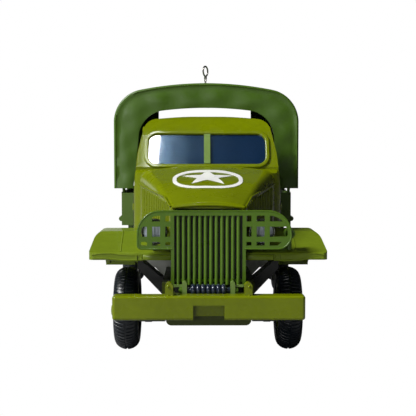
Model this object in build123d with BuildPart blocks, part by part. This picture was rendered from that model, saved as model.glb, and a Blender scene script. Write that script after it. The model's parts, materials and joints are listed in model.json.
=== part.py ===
"""Toy military cargo truck, closed cab, six wheels on three turning axles.

Millimetres. The truck faces -Y, +Z is up and +X is its left side.
The origin is on the ground, under the middle of the model.
"""
import os

from build123d import *

os.makedirs("parts", exist_ok=True)

# ---- overall places along the truck -------------------------------------------------
overall_length = 137.0
front_y = -overall_length / 2  # face of the front bumper
tail_y = overall_length / 2  # end of the towing hook
fit_gap = 0.05  # between pieces that seat on each other
sides = (-1, 1)  # right and left of the truck

# ---- wheels and axles ----------------------------------------------------------------
tyre_radius = 8.2
front_tyre_width = 4.75
rear_tyre_width = 4.0
tyre_shoulder = 1.6
rim_radius = 4.9
rim_wall = 0.7
rim_inset = 0.4  # rim edge inside the tyre wall
disc_thickness = 0.8
axle_radius = 0.9
axle_clearance = 0.06
hub_boss_radius = 1.8
hub_bore_gap = 0.02
axle_end_cover = 1.0  # closed end of the hub over the axle's tip
wheelbase = 83.3  # front axle to the middle of the rear pair
bogie_spacing = 22.4  # first rear axle to the second
front_overhang = 22.9  # bumper face to front axle
front_track_half = 15.95
rear_track_half = 20.6
axle_z = tyre_radius
front_axle_y = front_y + front_overhang
bogie_y = front_axle_y + wheelbase

front_disc_out = 1.0  # disc's shift out from the tyre's middle
rear_disc_out = -0.9
front_boss_out = 2.7  # reach of the boss outwards
rear_boss_out = 1.7
hub_boss_inner = 2.2  # reach of the boss inwards from the tyre's middle
# name, y, half track, tyre width, disc's shift, reach of the boss
wheelsets = (
    ("front", front_axle_y, front_track_half, front_tyre_width, front_disc_out, front_boss_out),
    ("rear_first", bogie_y - bogie_spacing / 2, rear_track_half, rear_tyre_width, rear_disc_out, rear_boss_out),
    ("rear_second", bogie_y + bogie_spacing / 2, rear_track_half, rear_tyre_width, rear_disc_out, rear_boss_out),
)
nut_count = 6
nut_circle = 3.0
nut_radius = 0.35
nut_height = 0.4
boss_chamfer = 0.4

# ---- chassis -------------------------------------------------------------------------
rail_half = 8.6  # outside of the side rails
rail_wall = 1.3
rail_bottom_z = 11.4
chassis_top_z = 15.0
chassis_plate = 1.0
rib_lift = 0.8  # a cross rib ends above the rails' bottom
cab_mount_inset = 4.0
cab_mount_size = 3.0
tow_plate_reach = 2.4  # hook's end to its plate
housing_radius = 1.4
diff_radius = 3.2
housing_gap = 0.7  # from a housing's end to the hub
knuckle_face = 0.5  # from a housing's end to the tie rod's end
knuckle_radius = 2.3
knuckle_length = 1.9
tie_rod_radius = 0.4
tie_rod_drop = 2.5
tie_rod_back = 2.6
spring_width = 1.5
spring_half = 10.5
spring_leaf = 0.6
spring_pad = 2.0  # half the flat over a housing
rear_spring_overhang = 1.4
rear_spring_seat = 4.0
propshaft_radius = 0.7
gearbox_half = 3.4
gearbox_length = 8.0
gearbox_drop = 1.6  # below the shafts' middle
gearbox_edge = 1.0

# ---- front end -----------------------------------------------------------------------
bumper_half = 16.9
bumper_low_z = 9.95
bumper_high_z = 14.25
bumper_depth = 3.0
bumper_edge = 0.55
notch_half = 2.75
notch_high_z = 12.6
notch_low_z = 10.5
notch_depth = 1.3
tow_post_x = 6.95
tow_post_width = 1.4
tow_post_high_z = 16.5
tray_half = 7.6
tray_low_z = 8.5
tray_high_z = 13.4
tray_depth = 8.1
tray_corner = 1.0
winch_post_x = 4.3
winch_post_width = 0.85
winch_post_high_z = 16.3
winch_y = front_y + 4.1
winch_z = 14.65
winch_shaft_z = 15.45
drum_radius = 0.55
cable_radius = 0.38
cable_turns = 7
cable_pitch = 0.9

grille_y = front_y + 8.7  # middle of the grille's flat frame
grille_depth = 0.8
grille_low_z = 14.9
grille_high_z = 28.65
grille_inner_half = 6.25
grille_frame = 0.6
grille_top_frame = 0.95
grille_bar_radius = 0.34
grille_bar_count = 12
grille_bar_pitch = 1.0
guard_low_z = 21.45
guard_right_half = 13.1
guard_left_half = 15.3
guard_corner_high = 4.3
guard_corner_low = (0.9, 2.6)  # right, left
guard_edge = 0.75
guard_bar = 0.95
guard_rows = (23.35, 26.15)  # z of the level bars
guard_strips = (8.35, 10.75)  # x of the upright bars
grille_tie_lift = 0.5

chassis_front_y = front_y + bumper_depth + tray_depth
radiator_back_y = chassis_front_y - fit_gap
headlamp_x = 9.95
headlamp_z = 24.55
headlamp_radius = 2.4
headlamp_face_y = grille_y + 1.5
headlamp_length = 4.0
lens_depth = 0.6
lamp_rim = 0.35
blackout_z = 24.2
blackout_radius = 1.0
blackout_gap = 1.75  # beside the headlamp
blackout_x = headlamp_x + headlamp_radius + blackout_gap + blackout_radius
lamp_stem_radius = 0.45

# ---- hood, cab -----------------------------------------------------------------------
hood_front_y = front_y + 10.8
cowl_y = front_y + 34.5
panel_wall = 1.0
nose_roll = 0.6  # rounding over the front edge
nose_gap = 0.2  # above the grille
hood_low_z = 19.4
# y, half width, shoulder z, crown z, shoulder rounding, bottom z
hood_sections = (
    (hood_front_y, 6.9, 29.2, 30.1, 0.9, hood_low_z),
    ((hood_front_y + cowl_y) / 2, 10.55, 32.7, 33.6, 1.7, hood_low_z),
    (cowl_y, 14.2, 35.1, 36.15, 2.5, hood_low_z),
)
cab_half = 15.75
roof_half = 13.4
roof_edge_z = 46.2
roof_rounding = 3.0
roof_fall = 0.4  # from the brow to the back
brow_rounding = 5.0
screen_top_rounding = 8.0
pillar_half = 15.0
pillar_z = 39.0
belt_z = 30.0
belt_rounding = 4.0
cab_front_rounding = 3.2
cab_back_rounding = 1.6
cab_low_z = 15.8
cab_high_z = 47.1
cab_back_y = front_y + 60.0
screen_low_y = cowl_y + 2.9
screen_low_z = 36.0
screen_high_y = cowl_y + 7.4
screen_high_z = 44.3
brow_y = screen_high_y + 3.4
screen_half = 12.6
screen_corner = 1.9
screen_margin_low = 0.6
screen_margin_high = 1.55
screen_rim = 0.9
screen_rim_height = 0.45
rim_rounding = 0.25
glass_thickness = 0.5
mullion_width = 1.35
side_window_front_y = cowl_y + 9.6
side_window_back_y = cab_back_y - 4.2
side_window_low_z = 36.4
side_window_high_z = 42.6
side_glass_inset = 2.8
rear_window_half = 6.5
rear_window_low_z = 38.0
rear_window_high_z = 42.8
wheel_x = 5.9
steering_radius = 3.6
steering_tube = 0.3

# ---- fenders, running boards, aprons ---------------------------------------------------
fender_half = 22.15
fender_front_y = front_y + 10.2
fender_sheet = 0.8
fender_lip_low_z = 19.35
fender_lip = 1.1
fender_front_z = 20.7
fender_peak_z = 24.0
fender_edge_z = 23.2  # outer edge beside the peak
fender_crease_x = 17.6
fender_peak_rounding = 4.0
fender_nose_rounding = 0.35
fender_edge_rounding = 1.0
fender_peak_front_y = front_axle_y + 3.9
fender_peak_back_y = front_axle_y + 8.2
board_front_y = front_y + 41.4
board_back_y = cab_back_y
board_low_z = 14.45
board_high_z = 15.75
board_half = fender_half + 0.05
bracket_width = 1.6
bracket_inset = 3.0
bracket_gap = 0.2  # under the cab
apron_front_y = front_axle_y - 6.4
apron_length = 4.5
apron_back_y = apron_front_y + apron_length
apron_wall = 0.9
apron_x = 13.5
apron_knee_z = 16.9
apron_top_z = hood_low_z - fit_gap
firewall_half = 12.8
firewall_low_z = chassis_top_z
firewall_high_z = 31.0
wing_low_z = 12.4
wing_high_z = 16.8
wing_top_z = 17.5
firewall_sheet = 0.8

# ---- cargo bed and cover ---------------------------------------------------------------
bed_front_y = front_y + 63.5
bed_back_y = tail_y - 2.0
bed_half = 20.6
bed_wall = 0.9
bed_low_z = 21.3
bed_high_z = 29.2
bed_rail_z = 22.9
bed_rail_radius = 0.62
bed_rail_proud = 0.7
stake_count = 6
stake_width = 1.4
stake_proud = 0.45
cross_sill_count = 5
cross_sill_width = 2.0
cross_sill_height = 2.2
gate_thickness = 0.9
gate_rib_count = 4
gate_rib_spacing = 10.0
cover_front_y = front_y + 63.0
cover_back_y = tail_y - 0.9
cover_half = 22.4
cover_low_z = 30.3
cover_side_z = 46.0
cover_shoulder_x = cover_half - 6.4
cover_shoulder_z = 54.15
cover_arc_x = cover_half - 1.75
cover_arc_z = 51.3
cover_edge_rounding = 0.5
cover_high_z = 55.75
cover_wall = 0.9
cover_door_half_low = cover_half - 4.7
cover_door_half_high = cover_half - 6.1
cover_door_side_z = 43.6
cover_door_bend_x = cover_half - 7.9
cover_door_bend_z = 47.1
cover_door_top_half = cover_half - 11.2
cover_door_shoulder_z = 49.0
cover_door_high_z = 49.74
cover_rear_half = cover_half - 7.5
cover_rear_high_z = 53.2
cover_rear_corner = 0.3
bow_count = 6
bow_width = 1.5
loop_back = 37.0  # from the cover's end
loop_y = cover_back_y - loop_back
loop_top_z = 63.2
loop_wire = 0.24
loop_outer_radius = 1.6
loop_turn = 28.0
loop_shank_radius = 0.4
loop_hole_gap = 0.05


# ---- helpers ---------------------------------------------------------------------------
def save(builder, name):
    """Label a finished piece and write its STEP file."""
    builder.part.label = name
    export_step(builder.part, f"parts/{name}.step")


def across(x, y=0.0, z=0.0):
    """Plane normal to +X, local x along +Y and local y along +Z."""
    return Plane(origin=(x, y, z), x_dir=(0, 1, 0), z_dir=(1, 0, 0))


def facing(y, x=0.0, z=0.0):
    """Plane that faces the front, local x along +X and local y along +Z."""
    return Plane(origin=(x, y, z), x_dir=(1, 0, 0), z_dir=(0, -1, 0))


def level(z, x=0.0, y=0.0):
    """Plane that faces up, local x along +X and local y along +Y."""
    return Plane(origin=(x, y, z), x_dir=(1, 0, 0), z_dir=(0, 0, 1))


def block(x_range, y_range, z_range, mode=Mode.ADD):
    """Box between low and high coordinates, in the current part."""
    ranges = (x_range, y_range, z_range)
    with Locations(tuple((low + high) / 2 for low, high in ranges)):
        Box(*[high - low for low, high in ranges], mode=mode)


def span(side, near, far):
    """Low and high x of a stretch from near to far, on one side of the truck."""
    return (min(side * near, side * far), max(side * near, side * far))


# ---- wheelsets -------------------------------------------------------------------------
hub_boss_bore = axle_radius + hub_bore_gap
for set_name, axle_y, track, tyre_width, dish, boss_out in wheelsets:
    wheel_plane = facing(axle_y, z=axle_z)
    wheel_axis = Axis((0, axle_y, axle_z), (1, 0, 0))
    rod_half = track + boss_out - axle_end_cover

    with BuildPart() as tyres:
        with BuildSketch(wheel_plane):
            with Locations(*[(s * track, (tyre_radius + rim_radius) / 2) for s in sides]):
                RectangleRounded(tyre_width, tyre_radius - rim_radius, tyre_shoulder)
        revolve(axis=wheel_axis)
    save(tyres, f"{set_name}_tyres")

    with BuildPart() as hubs:
        for s in sides:
            rim_edge = tyre_width / 2 - rim_inset
            rim_inner = rim_radius - fit_gap - rim_wall
            with BuildSketch(wheel_plane):
                with BuildLine():
                    Polyline(
                        (s * (track - rim_edge), rim_inner),
                        (s * (track - rim_edge), rim_radius - fit_gap),
                        (s * (track + rim_edge), rim_radius - fit_gap),
                        (s * (track + rim_edge), rim_inner),
                        (s * (track + dish), rim_inner),
                        (s * (track + dish), hub_boss_radius),
                        (s * (track + boss_out), hub_boss_radius - boss_chamfer),
                        (s * (track + boss_out), 0),
                        (s * rod_half, 0),
                        (s * rod_half, hub_boss_bore),
                        (s * (track - hub_boss_inner), hub_boss_bore),
                        (s * (track - hub_boss_inner), hub_boss_radius),
                        (s * (track + dish - disc_thickness), hub_boss_radius),
                        (s * (track + dish - disc_thickness), rim_inner),
                        close=True,
                    )
                make_face()
            revolve(axis=wheel_axis)
            with BuildSketch(across(s * (track + dish), axle_y, axle_z)):
                with PolarLocations(nut_circle, nut_count):
                    Circle(nut_radius)
            extrude(amount=s * nut_height)
    save(hubs, f"{set_name}_hubs")

    with BuildPart() as rod:
        with BuildSketch(across(-rod_half + fit_gap, axle_y, axle_z)):
            Circle(axle_radius)
        extrude(amount=2 * (rod_half - fit_gap))
    save(rod, f"{set_name}_axle")

# ---- axle housings ---------------------------------------------------------------------
for set_name, axle_y, track, tyre_width, dish, boss_out in wheelsets:
    housing_half = track - hub_boss_inner - housing_gap
    bulge_half = (diff_radius**2 - housing_radius**2) ** 0.5
    bore_radius = axle_radius + axle_clearance
    with BuildPart() as housing:
        with BuildSketch(facing(axle_y, z=axle_z)):
            with BuildLine():
                Polyline(
                    (-bulge_half, housing_radius),
                    (-housing_half, housing_radius),
                    (-housing_half, bore_radius),
                    (housing_half, bore_radius),
                    (housing_half, housing_radius),
                    (bulge_half, housing_radius),
                )
                ThreePointArc(
                    (-bulge_half, housing_radius), (0, diff_radius), (bulge_half, housing_radius)
                )
            make_face()
        revolve(axis=Axis((0, axle_y, axle_z), (1, 0, 0)))
        if set_name == "front":
            tie_y = axle_y + tie_rod_back
            tie_z = axle_z - tie_rod_drop
            for s in sides:
                with BuildSketch(across(s * (housing_half - knuckle_length), axle_y, axle_z)):
                    Circle(knuckle_radius)
                extrude(amount=s * knuckle_length)
                block(
                    span(s, housing_half - knuckle_length, housing_half - knuckle_face),
                    (axle_y, tie_y + tie_rod_radius),
                    (tie_z - tie_rod_radius, tie_z + tie_rod_radius),
                )
            with BuildSketch(across(-housing_half + knuckle_face, tie_y, tie_z)):
                Circle(tie_rod_radius)
            extrude(amount=2 * (housing_half - knuckle_face))
            with BuildSketch(across(-housing_half, axle_y, axle_z)):
                Circle(bore_radius)
            extrude(amount=2 * housing_half, mode=Mode.SUBTRACT)
    save(housing, f"{set_name}_axle_housing")

# ---- chassis: a pan with two side rails and cross ribs ----------------------------------
chassis_back_y = tail_y - tow_plate_reach
cross_ribs = (
    front_axle_y - 6.4,
    cab_back_y - 11.5,
    cab_back_y + 10.5,
    bogie_y,
    chassis_back_y - 6.1,
)
rib_low_z = rail_bottom_z + rib_lift
cab_mounts = (cowl_y + cab_mount_inset, cab_back_y - cab_mount_inset)
with BuildPart() as chassis:
    block(
        (-rail_half, rail_half),
        (chassis_front_y, chassis_back_y),
        (chassis_top_z - chassis_plate, chassis_top_z),
    )
    for s in sides:
        block(
            span(s, rail_half - rail_wall, rail_half),
            (chassis_front_y, chassis_back_y),
            (rail_bottom_z, chassis_top_z),
        )
    for rib_y in cross_ribs:
        block(
            (-rail_half, rail_half),
            (rib_y - rail_wall / 2, rib_y + rail_wall / 2),
            (rib_low_z, chassis_top_z),
        )
    for mount_y in cab_mounts:
        for s in sides:
            block(
                span(s, rail_half - cab_mount_size, rail_half),
                (mount_y - cab_mount_size / 2, mount_y + cab_mount_size / 2),
                (chassis_top_z, cab_low_z),
            )
save(chassis, "chassis")

# ---- leaf springs between the rails and the housings --------------------------------------
spring_x = rail_half - rail_wall / 2
housing_top_z = axle_z + housing_radius + fit_gap
spring_end_z = rail_bottom_z - spring_leaf
with BuildPart() as front_springs:
    for s in sides:
        with BuildSketch(across(s * spring_x - spring_width / 2)):
            with BuildLine():
                Polyline(
                    (front_axle_y - spring_half, rail_bottom_z),
                    (front_axle_y + spring_half, rail_bottom_z),
                    (front_axle_y + spring_half, spring_end_z),
                    (front_axle_y + spring_pad, housing_top_z),
                    (front_axle_y - spring_pad, housing_top_z),
                    (front_axle_y - spring_half, spring_end_z),
                    close=True,
                )
            make_face()
        extrude(amount=spring_width)
save(front_springs, "front_springs")

rear_spring_half = bogie_spacing / 2 + rear_spring_overhang
spring_tip_z = housing_top_z + 0.15
spring_low_z = housing_top_z - 1.6
with BuildPart() as rear_springs:
    for s in sides:
        with BuildSketch(across(s * spring_x - spring_width / 2)):
            with BuildLine():
                Polyline(
                    (bogie_y - rear_spring_seat, rail_bottom_z),
                    (bogie_y + rear_spring_seat, rail_bottom_z),
                    (bogie_y + rear_spring_half, spring_tip_z + spring_leaf),
                    (bogie_y + rear_spring_half, spring_tip_z),
                    (bogie_y + rear_spring_seat, housing_top_z - spring_leaf),
                    (bogie_y + spring_pad, spring_low_z),
                    (bogie_y - spring_pad, spring_low_z),
                    (bogie_y - rear_spring_seat, housing_top_z - spring_leaf),
                    (bogie_y - rear_spring_half, spring_tip_z),
                    (bogie_y - rear_spring_half, spring_tip_z + spring_leaf),
                    close=True,
                )
            make_face()
        extrude(amount=spring_width)
save(rear_springs, "rear_springs")

# ---- gearbox under the pan and the shafts to the axles -------------------------------------
gearbox_front_y = cab_back_y - gearbox_length
gearbox_back_y = cab_back_y
gearbox_low_z = axle_z - gearbox_drop
pan_under_z = chassis_top_z - chassis_plate
with BuildPart() as gearbox:
    block(
        (-gearbox_half, gearbox_half),
        (gearbox_front_y, gearbox_back_y),
        (gearbox_low_z, pan_under_z),
    )
    fillet(gearbox.edges().filter_by(Axis.Y).group_by(Axis.Z)[0], gearbox_edge)
save(gearbox, "gearbox")

shaft_runs = (
    (front_axle_y + diff_radius, gearbox_front_y),
    (gearbox_back_y, wheelsets[1][1] - diff_radius),
    (wheelsets[1][1] + diff_radius, wheelsets[2][1] - diff_radius),
)
with BuildPart() as propshafts:
    for run_start, run_end in shaft_runs:
        with BuildSketch(facing(run_end - fit_gap, z=axle_z)):
            Circle(propshaft_radius)
        extrude(amount=run_end - run_start - 2 * fit_gap)
save(propshafts, "propshafts")

# ---- bumper, tray and winch ---------------------------------------------------------------
bumper_back_y = front_y + bumper_depth
bumper_mid_z = (bumper_low_z + bumper_high_z) / 2
with BuildPart() as bumper:
    with BuildSketch(facing(bumper_back_y, z=bumper_mid_z)):
        Rectangle(2 * bumper_half, bumper_high_z - bumper_low_z)
    extrude(amount=bumper_depth)
    fillet(bumper.edges().filter_by(Axis.Z), bumper_edge)
    fillet(bumper.faces().sort_by(Axis.Y)[0].edges(), bumper_edge * 0.8)
    block(
        (-notch_half, notch_half),
        (front_y - 1, front_y + notch_depth),
        (bumper_low_z - 1, notch_high_z),
        mode=Mode.SUBTRACT,
    )
    block(
        (-notch_half, notch_half),
        (front_y - 1, bumper_back_y + 1),
        (bumper_low_z - 1, notch_low_z),
        mode=Mode.SUBTRACT,
    )
    for s in sides:
        with BuildSketch(facing(bumper_back_y - 0.5, x=s * tow_post_x)):
            post_round_z = tow_post_high_z - tow_post_width / 2
            with Locations((0, (bumper_high_z - 0.6 + post_round_z) / 2)):
                Rectangle(tow_post_width, post_round_z - bumper_high_z + 0.6)
            with Locations((0, post_round_z)):
                Circle(tow_post_width / 2)
        extrude(amount=bumper_depth - 1.1)
save(bumper, "bumper")

with BuildPart() as tray:
    block((-tray_half, tray_half), (bumper_back_y, chassis_front_y), (tray_low_z, tray_high_z))
    fillet(tray.edges().filter_by(Axis.Y).group_by(Axis.Z)[0], tray_corner)
save(tray, "winch_tray")

with BuildPart() as winch_frame:
    for s in sides:
        with BuildSketch(facing(winch_y + 0.7, x=s * winch_post_x)):
            post_round_z = winch_post_high_z - winch_post_width / 2
            with Locations((0, (tray_high_z + post_round_z) / 2)):
                Rectangle(winch_post_width, post_round_z - tray_high_z)
            with Locations((0, post_round_z)):
                Circle(winch_post_width / 2)
        extrude(amount=1.4)
        outer_end = tow_post_x - tow_post_width / 2
        with BuildSketch(across(s * winch_post_x, winch_y, winch_shaft_z)):
            Rectangle(0.5, 0.4)
        extrude(amount=s * (outer_end - winch_post_x))
save(winch_frame, "winch_frame")

cable_sink = 0.4 * cable_radius  # turns pressed onto the drum
drum_end = winch_post_x - winch_post_width / 2 - fit_gap
with BuildPart() as drum:
    with BuildSketch(across(-drum_end, winch_y, winch_z)):
        Circle(drum_radius)
    extrude(amount=2 * drum_end)
    with BuildSketch(facing(winch_y, z=winch_z + drum_radius + cable_sink)):
        with GridLocations(cable_pitch, 1, cable_turns, 1):
            Circle(cable_radius)
    revolve(axis=Axis((0, winch_y, winch_z), (1, 0, 0)))
save(drum, "winch_drum")

# ---- radiator and grille with its lamp guards -----------------------------------------------
with BuildPart() as radiator:
    block(
        (-grille_inner_half, grille_inner_half),
        (grille_y + grille_depth / 2 + 0.1, radiator_back_y),
        (tray_high_z, grille_high_z - 1.0),
    )
save(radiator, "radiator")

grille_outer_half = grille_inner_half + grille_frame
bar_low_z = grille_low_z + 0.1
bar_high_z = grille_high_z - 0.3


# side, reach, rounding of the low outer corner
lamp_guards = (
    (-1, guard_right_half, guard_corner_low[0]),
    (1, guard_left_half, guard_corner_low[1]),
)
with BuildPart() as grille:
    grille_back = facing(grille_y + grille_depth / 2)
    with BuildSketch(grille_back):
        with Locations((0, (grille_low_z + grille_high_z) / 2)):
            Rectangle(2 * grille_outer_half, grille_high_z - grille_low_z)
        opening_high_z = grille_high_z - grille_top_frame
        opening_low_z = grille_low_z - 1.0
        with Locations((0, (opening_low_z + opening_high_z) / 2)):
            Rectangle(2 * grille_inner_half, opening_high_z - opening_low_z, mode=Mode.SUBTRACT)
        for side, reach, low_corner in lamp_guards:
            inner_x = side * (grille_inner_half + 0.2)
            outer_x = side * reach
            high_start = (side * (reach - guard_corner_high), grille_high_z)
            low_end = (side * (reach - low_corner), guard_low_z)
            with BuildLine():
                Polyline(low_end, (inner_x, guard_low_z), (inner_x, grille_high_z), high_start)
                RadiusArc(
                    high_start,
                    (outer_x, grille_high_z - guard_corner_high),
                    side * guard_corner_high,
                )
                Line(
                    (outer_x, grille_high_z - guard_corner_high),
                    (outer_x, guard_low_z + low_corner),
                )
                RadiusArc((outer_x, guard_low_z + low_corner), low_end, side * low_corner)
            make_face()
    extrude(amount=grille_depth)
    with BuildSketch(grille_back):
        for side, reach, low_corner in lamp_guards:
            inner_x = side * (grille_outer_half + 0.1)
            outer_x = side * (reach - guard_edge)
            high_z = grille_high_z - grille_top_frame
            low_z = guard_low_z + guard_edge
            high_start = (side * (reach - guard_corner_high), high_z)
            high_end = (outer_x, grille_high_z - guard_corner_high)
            low_start = (outer_x, guard_low_z + low_corner)
            low_end = (side * (reach - low_corner), low_z)
            with BuildLine():
                Polyline(low_end, (inner_x, low_z), (inner_x, high_z), high_start)
                ThreePointArc(
                    high_start,
                    (
                        side * (reach - guard_corner_high * 0.293 - guard_edge * 0.7),
                        grille_high_z - guard_corner_high * 0.293 - guard_edge * 0.9,
                    ),
                    high_end,
                )
                Line(high_end, low_start)
                Line(low_start, low_end)
            make_face()
        for strip_x in guard_strips:
            for side in sides:
                with Locations((side * strip_x, (guard_low_z + grille_high_z) / 2)):
                    Rectangle(guard_bar, grille_high_z - guard_low_z, mode=Mode.SUBTRACT)
        for strip_z in guard_rows:
            with Locations((0, strip_z)):
                Rectangle(2 * guard_left_half, guard_bar, mode=Mode.SUBTRACT)
    extrude(amount=grille_depth, mode=Mode.SUBTRACT)
    with BuildSketch(level(bar_low_z, y=grille_y)):
        with GridLocations(grille_bar_pitch, 1, grille_bar_count, 1):
            Circle(grille_bar_radius)
    extrude(amount=bar_high_z - bar_low_z)
    block(
        (-grille_inner_half, grille_inner_half),
        (grille_y + grille_bar_radius / 2, grille_y + grille_depth / 2),
        (bar_low_z + grille_tie_lift, bar_low_z + 2 * grille_tie_lift),
    )
save(grille, "grille")

# ---- lamps on the fenders ---------------------------------------------------------------------
fender_slope = (fender_peak_z - fender_front_z) / (fender_peak_front_y - fender_front_y)
stem_y = headlamp_face_y + 1.4
lamp_seat_z = fender_front_z + (stem_y + lamp_stem_radius - fender_front_y) * fender_slope
with BuildPart() as lamp_shells:
    for s in sides:
        with BuildSketch(Plane(origin=(s * headlamp_x, 0, headlamp_z), x_dir=(0, 1, 0), z_dir=(1, 0, 0))):
            with BuildLine():
                Polyline(
                    (headlamp_face_y, 0),
                    (headlamp_face_y, headlamp_radius),
                    (headlamp_face_y + 1.3, headlamp_radius),
                    (headlamp_face_y + headlamp_length, 1.0),
                    (headlamp_face_y + headlamp_length, 0),
                    close=True,
                )
            make_face()
        revolve(axis=Axis((s * headlamp_x, 0, headlamp_z), (0, 1, 0)))
        with BuildSketch(level(lamp_seat_z, x=s * headlamp_x, y=stem_y)):
            Circle(lamp_stem_radius)
        extrude(amount=headlamp_z - headlamp_radius + 0.4 - lamp_seat_z)
        with BuildSketch(facing(headlamp_face_y + lens_depth, x=s * headlamp_x, z=headlamp_z)):
            Circle(headlamp_radius - lamp_rim)
        extrude(amount=lens_depth, mode=Mode.SUBTRACT)
save(lamp_shells, "headlamp_shells")

with BuildPart() as lamp_lenses:
    for s in sides:
        with BuildSketch(facing(headlamp_face_y + lens_depth - fit_gap, x=s * headlamp_x, z=headlamp_z)):
            Circle(headlamp_radius - lamp_rim - fit_gap)
        extrude(amount=lens_depth)
save(lamp_lenses, "headlamp_lenses")

with BuildPart() as blackout:
    blackout_y = headlamp_face_y + 0.2
    with BuildSketch(facing(blackout_y + 1.6, x=blackout_x, z=blackout_z)):
        Circle(blackout_radius)
    extrude(amount=1.6)
    with BuildSketch(facing(blackout_y + 0.6, x=blackout_x, z=blackout_z)):
        Circle(blackout_radius - 0.25)
    extrude(amount=0.6, mode=Mode.SUBTRACT)
    with BuildSketch(level(lamp_seat_z, x=blackout_x, y=stem_y)):
        Circle(lamp_stem_radius)
    extrude(amount=blackout_z - blackout_radius + 0.3 - lamp_seat_z)
save(blackout, "blackout_lamp")

# ---- hood: a shell that widens and rises from the grille to the cab ----------------------------
hood_shapes = []
for inset in (0, panel_wall):
    with BuildPart() as hood_shape:
        for y, half, shoulder_z, crown_z, rounding, low_z in hood_sections:
            at_front = y == hood_front_y
            with BuildSketch(facing(y + (inset if at_front else 0))) as outline:
                side_x = half - inset
                with BuildLine():
                    Polyline(
                        (-side_x, shoulder_z - inset),
                        (-side_x, low_z - inset),
                        (side_x, low_z - inset),
                        (side_x, shoulder_z - inset),
                    )
                    ThreePointArc(
                        (-side_x, shoulder_z - inset),
                        (0, crown_z - inset),
                        (side_x, shoulder_z - inset),
                    )
                make_face()
                fillet(outline.vertices().group_by(Axis.Y)[-1], rounding - 0.4 * inset)
        loft(ruled=True)
        if inset == 0:
            nose = hood_shape.faces().sort_by(Axis.Y)[0].edges()
            fillet(nose.filter_by(lambda edge: edge.center().Z > hood_sections[0][2]), nose_roll)
    hood_shapes.append(hood_shape.part)

with BuildPart() as hood:
    add(hood_shapes[0])
    add(hood_shapes[1], mode=Mode.SUBTRACT)
    block(
        (-grille_inner_half, grille_inner_half),
        (hood_front_y - 1, hood_front_y + panel_wall + 1),
        (grille_low_z, grille_high_z + nose_gap),
        mode=Mode.SUBTRACT,
    )
save(hood, "hood")

# ---- cab: walls, roof and floor around a hollow, with its windows cut ----------------------------
screen_tilt = Vector(0, screen_high_y - screen_low_y, screen_high_z - screen_low_z)
screen_length = screen_tilt.length
screen_up = screen_tilt.normalized()
screen_plane = Plane(
    origin=(0, (screen_low_y + screen_high_y) / 2, (screen_low_z + screen_high_z) / 2),
    x_dir=(1, 0, 0),
    z_dir=Vector(1, 0, 0).cross(screen_up),
)
screen_open_length = screen_length - screen_margin_low - screen_margin_high
screen_open_shift = (screen_margin_low - screen_margin_high) / 2

cab_shapes = []
for inset in (0, panel_wall):
    with BuildPart() as cab_shape:
        with BuildSketch(across(-cab_half - 1)) as side_profile:
            with BuildLine():
                Polyline(
                    (cowl_y + inset, cab_low_z + inset),
                    (cowl_y + inset, hood_sections[-1][3] - inset),
                    (screen_low_y + 0.7 * inset, screen_low_z - 0.4 * inset),
                    (screen_high_y + 0.7 * inset, screen_high_z - 0.4 * inset),
                    (brow_y, cab_high_z - inset),
                    (cab_back_y - inset, cab_high_z - roof_fall - inset),
                    (cab_back_y - inset, cab_low_z + inset),
                    close=True,
                )
            make_face()
            roof_line = side_profile.vertices().sort_by(Axis.Y)[-3:]
            fillet(roof_line.sort_by(Axis.X)[:1], screen_top_rounding - 0.4 * inset)
            brow_corner = side_profile.vertices().sort_by(Axis.Y)[-1:]
            fillet(brow_corner, brow_rounding - 0.4 * inset)
            back_line = side_profile.vertices().group_by(Axis.X)[-1]
            fillet(back_line.sort_by(Axis.Y)[-1:], cab_back_rounding - 0.5 * inset)
        extrude(amount=2 * cab_half + 2)
        with BuildSketch(facing(cab_back_y + 1)) as front_profile:
            with BuildLine():
                Polyline(
                    (-roof_half + inset, roof_edge_z - inset),
                    (-pillar_half + inset, pillar_z),
                    (-cab_half + inset, belt_z),
                    (-cab_half + inset, cab_low_z + inset),
                    (cab_half - inset, cab_low_z + inset),
                    (cab_half - inset, belt_z),
                    (pillar_half - inset, pillar_z),
                    (roof_half - inset, roof_edge_z - inset),
                )
                ThreePointArc(
                    (-roof_half + inset, roof_edge_z - inset),
                    (0, cab_high_z - inset),
                    (roof_half - inset, roof_edge_z - inset),
                )
            make_face()
            belt_corners = front_profile.vertices().group_by(Axis.Y)[1:3]
            for pair in belt_corners:
                fillet(pair, belt_rounding)
            fillet(front_profile.vertices().group_by(Axis.Y)[-1], roof_rounding - 0.5 * inset)
        extrude(amount=cab_back_y - cowl_y + 2, mode=Mode.INTERSECT)
        with BuildSketch(level(cab_low_z - 1)) as plan_profile:
            with Locations((0, (cowl_y + cab_back_y) / 2)):
                Rectangle(2 * (cab_half - inset), cab_back_y - cowl_y - 2 * inset)
            fillet(plan_profile.vertices().group_by(Axis.Y)[0], cab_front_rounding - 0.5 * inset)
            fillet(plan_profile.vertices().group_by(Axis.Y)[-1], cab_back_rounding - 0.5 * inset)
        extrude(amount=cab_high_z - cab_low_z + 2, mode=Mode.INTERSECT)
    cab_shapes.append(cab_shape.part)

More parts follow.
